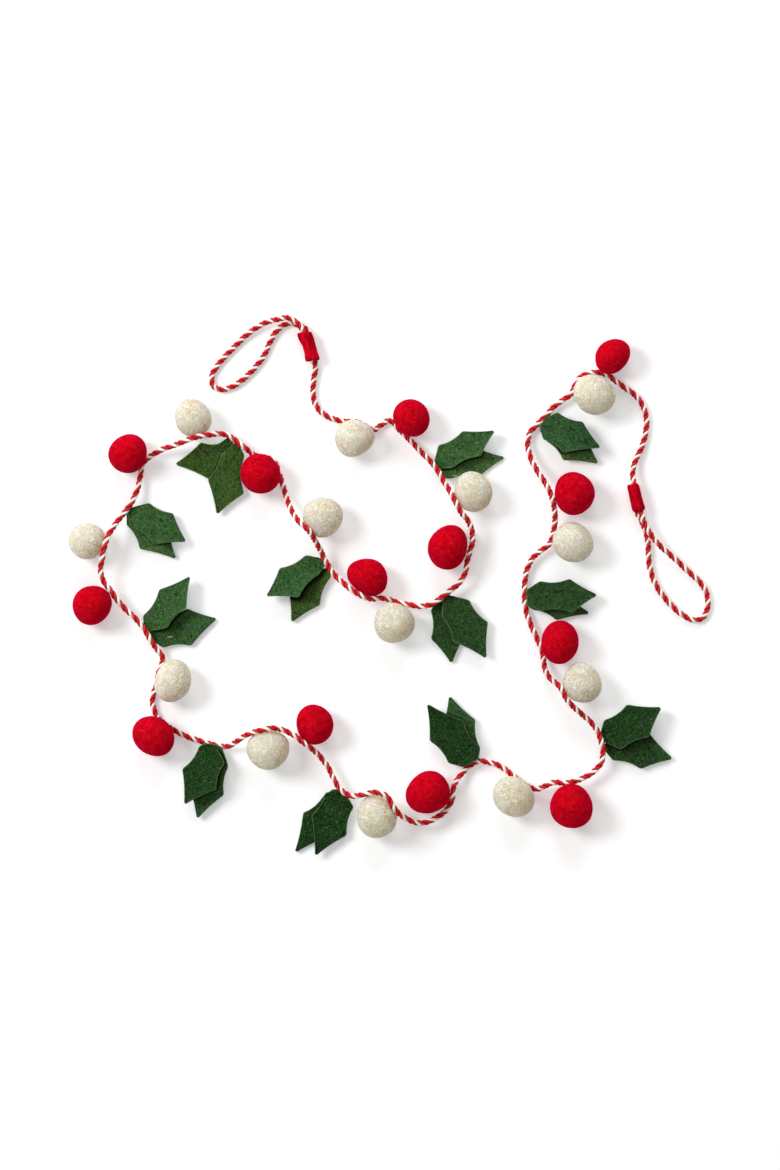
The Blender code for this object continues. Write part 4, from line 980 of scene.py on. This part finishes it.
class Leaf:
    """The middle surface of a leaf as a grid from side a to side b, base row first."""

    def __init__(self, name, outline, hold, tilt, shade):
        self.name = name
        self.hold = hold
        self.tilt = tilt
        self.shade = shade
        self.base, tip, self.edges = leaf_edges(outline, hold)
        pairs = list(zip(*self.edges))
        self.rows = len(pairs)
        self.columns = LEAF_COLUMNS + 1
        constant, slope_x, slope_y = node_plane(name)
        self.points = []
        for one, other in pairs:
            for column in range(self.columns):
                spot = one.lerp(other, column / LEAF_COLUMNS)
                spot.z = constant + slope_x * spot.x + slope_y * spot.y
                self.points.append(spot)
        outline = self.edges[0] + self.edges[1][::-1]
        self.area = abs(sum(
            one.x * other.y - other.x * one.y
            for one, other in zip(outline, outline[1:] + outline[:1])
        )) / 2
        self.length = (tip - self.base).length
        self.width = max((one - other).length for one, other in pairs)

    def shape(self, upward):
        """Soft waves and a curl of the side that stands off, none at the sewn base."""
        seed = Vector((self.base.x * 50, self.base.y * 50, upward * 3.0))
        for index, point in enumerate(self.points):
            across = index % self.columns / LEAF_COLUMNS * 2 - 1
            along = (point - self.base).xy.length / self.length
            grow = smooth_step((along - LEAF_GROW[0]) / LEAF_GROW[1])
            wave, fine = (
                noise.noise(Vector((point.x * scale, point.y * scale, 0.0)) + seed)
                for scale in LEAF_WAVE_SCALES
            )
            lifted = max(0.0, across * math.copysign(1.0, self.tilt))
            if upward > 0:
                curl = LEAF_CURL * abs(self.tilt) * lifted ** 2 + LEAF_CUP * across * across
                lift = max(-0.1, LEAF_WAVES[0] * wave + curl)
            else:
                lift = min(0.0, LEAF_WAVES[1] * wave - LEAF_SAG)
            point.z += (lift * grow + LEAF_RIPPLE * fine) * MM


def settle_pair(upper, lower, search):
    """Bend the pair's base up or down so that it lies against the cord."""
    half = LEAF_THICKNESS / 2 + LEAF_CORD_GAP
    under = upper.hold == "under"
    side = -1 if under else 1
    shifts = []
    for point in upper.points + lower.points:
        height, distance = search.over(point)
        if distance <= CORD_RADIUS * SETTLE_TOUCH:
            reach = math.sqrt(CORD_RADIUS ** 2 - distance ** 2)
            shifts.append((height + side * reach) - (point.z - side * half))
    if not shifts:
        return
    shift = min(shifts) if under else max(shifts)
    for leaf in (upper, lower):
        for point in leaf.points:
            distance = (point - leaf.base).xy.length
            point.z += shift * (1 - smooth_step((distance - SETTLE_FROM) / SETTLE_RUN))
            point.z = max(point.z, half)


def inside_outline(spots, outline):
    """Which of the plan spots lie inside a closed outline."""
    ends = np.roll(outline, -1, axis=0)
    x, y = spots[:, 0][:, None], spots[:, 1][:, None]
    passes = (outline[:, 1] > y) != (ends[:, 1] > y)
    rise = np.where(ends[:, 1] == outline[:, 1], 1.0, ends[:, 1] - outline[:, 1])
    crossing = outline[:, 0] + (y - outline[:, 1]) * (ends[:, 0] - outline[:, 0]) / rise
    return (passes & (x < crossing)).sum(axis=1) % 2 == 1


def painted_shade_places(points, cover):
    """Place across the painted shade beside the covering leaf's raised edge: 0 at the edge, 1 past it."""
    if cover is None or cover.shade is None:
        return np.ones(len(points))
    width, first = cover.shade
    edges = [np.array(edge)[:, :2] for edge in cover.edges]
    edge = edges[1] if cover.tilt > 0 else edges[0]
    edge = edge[int(len(edge) * first):]
    spots = np.array(points)[:, :2]
    steps = edge[1:] - edge[:-1]
    away = spots[:, None, :] - edge[None, :-1, :]
    share = np.clip((away * steps).sum(axis=2) / (steps ** 2).sum(axis=1), 0.0, 1.0)
    distance = np.linalg.norm(away - steps * share[:, :, None], axis=2).min(axis=1)
    inside = inside_outline(spots, np.concatenate((edges[0], edges[1][::-1])))
    return np.where(inside, -distance, distance) / (width * MM)


def leaf_mesh(leaf, cover):
    """The felt round the middle surface: two faces and a rounded cut edge. cover lies over it."""
    rows, columns = leaf.rows, leaf.columns
    grid = np.array(leaf.points).reshape(rows, columns, 3)
    rim = [(0, c) for c in range(columns)] + [(r, columns - 1) for r in range(1, rows)]
    rim += [(rows - 1, c) for c in range(columns - 2, -1, -1)]
    rim += [(r, 0) for r in range(rows - 2, 0, -1)]
    ring = np.array([grid[place] for place in rim])
    ahead = np.roll(ring, -1, axis=0) - np.roll(ring, 1, axis=0)
    ahead[:, 2] = 0.0
    ahead /= np.maximum(np.linalg.norm(ahead, axis=1), 1e-9)[:, None]
    outward = np.stack([ahead[:, 1], -ahead[:, 0], np.zeros(len(ring))], axis=1)
    if ((ring - ring.mean(axis=0)) * outward).sum() < 0:
        outward = -outward
    for place, out in zip(rim, outward):
        grid[place] -= out * LEAF_ROUNDING
    up = np.array((0.0, 0.0, LEAF_THICKNESS / 2))
    points = list((grid + up).reshape(-1, 3)) + list((grid - up).reshape(-1, 3))
    total = rows * columns
    faces = []
    for r in range(rows - 1):
        for c in range(columns - 1):
            a = r * columns + c
            quad = (a, a + 1, a + columns + 1, a + columns)
            faces.append(quad)
            faces.append(tuple(total + index for index in quad[::-1]))
    rim_index = [r * columns + c for r, c in rim]
    rings = [rim_index]
    for share, bulge in LEAF_RIM_RINGS:
        rings.append(list(range(len(points), len(points) + len(ring))))
        points += list(ring + up * share + outward * (LEAF_ROUNDING * bulge))
    rings.append([total + index for index in rim_index])
    for over, under in zip(rings, rings[1:]):
        faces += zip(over, under, under[1:] + under[:1], over[1:] + over[:1])
    data = mesh_of(leaf.name + "_felt", points, faces)
    face_outward(data)
    on_rim = np.ones(len(points), dtype=np.float32)
    on_rim[:2 * total] = 0.0
    on_rim[rim_index] = 1.0
    # Where the painted shade lies on this leaf, for the uv layer's second channel.
    painted_shade_values = painted_shade_places(points, cover).astype(np.float32)
    corners = np.zeros(len(data.loops), dtype=np.int32)
    data.loops.foreach_get("vertex_index", corners)
    layer = data.uv_layers.new(name="edge")
    layer.data.foreach_set("uv", np.stack([on_rim, painted_shade_values], axis=1)[corners].ravel())
    data.shade_smooth()
    return data


def make_leaf_pair(number, row, materials, search):
    hold, tilt, shade, tones, *outlines = row
    upper, lower = leaves = [
        Leaf(f"leaf_{number:02d}_{place}", outline, hold, tilt, shade)
        for place, outline in zip(("upper", "lower"), outlines)
    ]
    upper.shape(1)
    lower.shape(-1)
    settle_pair(upper, lower, search)
    pieces = []
    for leaf, cover, tone in zip(leaves, (None, upper), tones):
        piece = add_piece(leaf.name + "_felt", leaf_mesh(leaf, cover), materials[tone])
        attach(piece, "root")
        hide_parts(leaf.name)
        pieces.append(piece)
    return pieces


# Sleeves

def make_sleeve(name, material):
    """A felt strip rolled round both cord legs: an outer and an inner wall with rounded rims."""
    centre, along, _, length, _ = sleeve_frame(name)
    sides = SLEEVE_SIDES[name]
    last = len(sides[0]) - 1
    low = FLOOR_GAP
    high = 2 * centre.z - FLOOR_GAP
    seed = Vector((centre.x * 40, centre.y * 40, 0.0))

    def section(share, inset, pull):
        where = min(max(share, 0.0), 1.0) * last
        index = min(int(where), last - 1)
        one, other = (
            plan_point(*side[index]).lerp(plan_point(*side[index + 1]), where - index)
            for side in sides
        )
        middle = (one + other) / 2 + along * pull
        across = (other - one) / 2
        half_width = across.length - inset
        across.normalize()
        half_height = (high - low) / 2 - inset
        points = []
        for column in range(SLEEVE_POINTS):
            angle = 2 * math.pi * column / SLEEVE_POINTS
            x, z = (
                math.copysign(abs(part) ** SLEEVE_ROUNDNESS, part)
                for part in (math.cos(angle), math.sin(angle))
            )
            point = middle + across * (x * half_width)
            point.z = (high + low) / 2 + z * half_height
            depth, fold, width = SLEEVE_CREASE
            crease = -depth * math.exp(-((angle - fold) / width) ** 2)
            fine, coarse = (size * noise.noise(point * scale + seed) for size, scale in SLEEVE_ROUGH)
            outward = Vector((across.x * x, across.y * x, z)).normalized()
            point += outward * (crease + (fine + coarse))
            point.z = max(point.z, SLEEVE_LOWEST)
            points.append(point)
        return points

    steps = SLEEVE_RINGS
    rings = [section(step / steps, 0.0, 0.0) for step in range(steps + 1)]
    for place, (inset, pull) in enumerate(SLEEVE_RIM):
        rings[place] = section(place / steps, inset * MM, -pull * MM)
        rings[-1 - place] = section(1 - place / steps, inset * MM, pull * MM)
    lip, pull = SLEEVE_LIP
    rings.append(section(1.0, SLEEVE_WALL * lip, pull * MM))
    for step in range(SLEEVE_INNER_RINGS, -1, -1):
        rings.append(section(step / SLEEVE_INNER_RINGS, SLEEVE_WALL, 0.0))
    rings.append(section(0.0, SLEEVE_WALL * lip, -pull * MM))
    points = [point for ring in rings for point in ring]
    faces = []
    for start in range(0, len(points), SLEEVE_POINTS):
        faces += ring_faces(start, (start + SLEEVE_POINTS) % len(points), SLEEVE_POINTS)
    data = mesh_of(name + "_felt", points, faces)
    face_outward(data)
    data.shade_smooth()
    piece = add_piece(name + "_felt", data, material)
    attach(piece, "root")
    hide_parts(name)
    return piece


# Loose wool

def fibre_roots(piece, count, low_limit, at_rim, chance):
    """Chance places on a piece and the normals there, at_rim times denser on steep sides."""
    data = piece.data
    data.calc_loop_triangles()
    corners = np.array([vertex.co for vertex in data.vertices])
    triangles = np.array([triangle.vertices for triangle in data.loop_triangles])
    a, b, c = corners[triangles[:, 0]], corners[triangles[:, 1]], corners[triangles[:, 2]]
    areas = np.linalg.norm(np.cross(b - a, c - a), axis=1)
    normals = np.cross(b - a, c - a) / np.maximum(areas, 1e-12)[:, None]
    weights = areas * np.where(np.abs(normals[:, 2]) < 0.5, at_rim, 1.0)
    for pick in chance.choices(range(len(triangles)), weights=list(weights), k=count):
        one, two = sorted((chance.random(), chance.random()))
        root = Vector(a[pick] * one + b[pick] * (two - one) + c[pick] * (1 - two))
        if root.z >= low_limit:
            yield root, Vector(normals[pick])


def make_fibres(pieces, name, slot, colour, count, lengths, lean, width, low_limit, at_rim):
    """Short curved fibres that stand out of the pieces' surfaces."""
    chance = random.Random("fibres_" + name)
    lengths = [length * MM for length in lengths]
    points = []
    faces = []
    for piece in pieces:
        for root, normal in fibre_roots(piece, count, low_limit * MM, at_rim, chance):
            sideways = normal.cross(Vector([chance.uniform(-1, 1) for _ in range(3)]))
            sideways.normalize()
            out = chance.uniform(*lean)
            length = chance.uniform(*lengths)
            way = (sideways + normal * out).normalized()
            curve = chance.uniform(-FIBRE_BEND, FIBRE_BEND)
            bend = normal.cross(sideways) * curve - normal * out * 0.5
            half = way.cross(normal).normalized() * (width * MM / 2)
            start = root - normal * FIBRE_ROOT
            middle = root + way * (length * 0.5)
            tip = root + (way + bend * 0.6).normalized() * length
            for point in (middle, tip):
                point.z = max(point.z, FLOOR_GAP)
            index = len(points)
            points += [start - half, start + half, middle - half * 0.8, middle + half * 0.8, tip]
            faces += [(index, index + 1, index + 3, index + 2), (index + 2, index + 3, index + 4)]
    data = mesh_of("fibres_" + name, points, faces)
    made = add_piece("fibres_" + name, data, plain_fibre("wool_" + name, colour))
    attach(made, "root")


def make_threads():
    """Short pale threads that lie on a piece, four-sided and narrower at their ends."""
    points = []
    faces = []
    for node, x, y, turn, length, width in THREADS:
        corners = np.array([vertex.co for vertex in bpy.data.objects[node + "_felt"].data.vertices])
        spot = plan_point(x, y)
        near = np.hypot(corners[:, 0] - spot.x, corners[:, 1] - spot.y) < THREAD_SEARCH
        spot.z = corners[near, 2].max() + THREAD_LIFT
        angle = math.radians(turn)
        way = Vector((math.cos(angle), math.sin(angle), 0.0)) * (length / 2 * MM)
        across = Vector((-math.sin(angle), math.cos(angle), 0.0)) * (width / 2 * MM)
        up = Vector((0.0, 0.0, width / 2 * MM))
        start = len(points)
        for share in (-1.0, -0.5, 0.5, 1.0):
            wide = 0.4 if abs(share) == 1.0 else 1.0
            middle = spot + way * share + across * (0.5 * share * share)
            points += [middle + side * wide for side in (-across, up, across, -up)]
        for ring in range(start, start + 12, 4):
            faces += ring_faces(ring, ring + 4, 4)
        faces.append((start, start + 3, start + 2, start + 1))
        faces.append((start + 12, start + 13, start + 14, start + 15))
    data = mesh_of("threads_pale", points, faces)
    data.shade_smooth()
    made = add_piece("threads_pale", data, plain_fibre("wool_pale", THREAD_PALE))
    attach(made, "root")


# Whole scene

def build():
    make_camera()
    make_light()
    make_floor()
    line, turns, length = cord_line()
    search = CordSearch(line)
    make_cord(line, turns, length, [cord_ply("ply_" + name, *look) for name, look in PLIES.items()])
    red, cream, wrap = ball_red(), ball_cream(), sleeve_red()
    greens = {name: leaf_green("felt_green_" + name, *look) for name, look in GREENS.items()}
    made = {"sleeve": [make_sleeve(name, wrap) for name in SLEEVES], "green": []}
    for tone, felt, rows in (("red", red, BALLS[1::2]), ("cream", cream, BALLS[::2])):
        made[tone] = [
            make_ball(f"ball_{tone}_{number:02d}", row, felt, search)
            for number, row in enumerate(rows, 1)
        ]
    for number, row in enumerate(LEAF_PAIRS, 1):
        made["green"] += make_leaf_pair(number, row, greens, search)
    for name, row in FIBRES.items():
        make_fibres(made[name], name, *row)
    make_threads()


build()
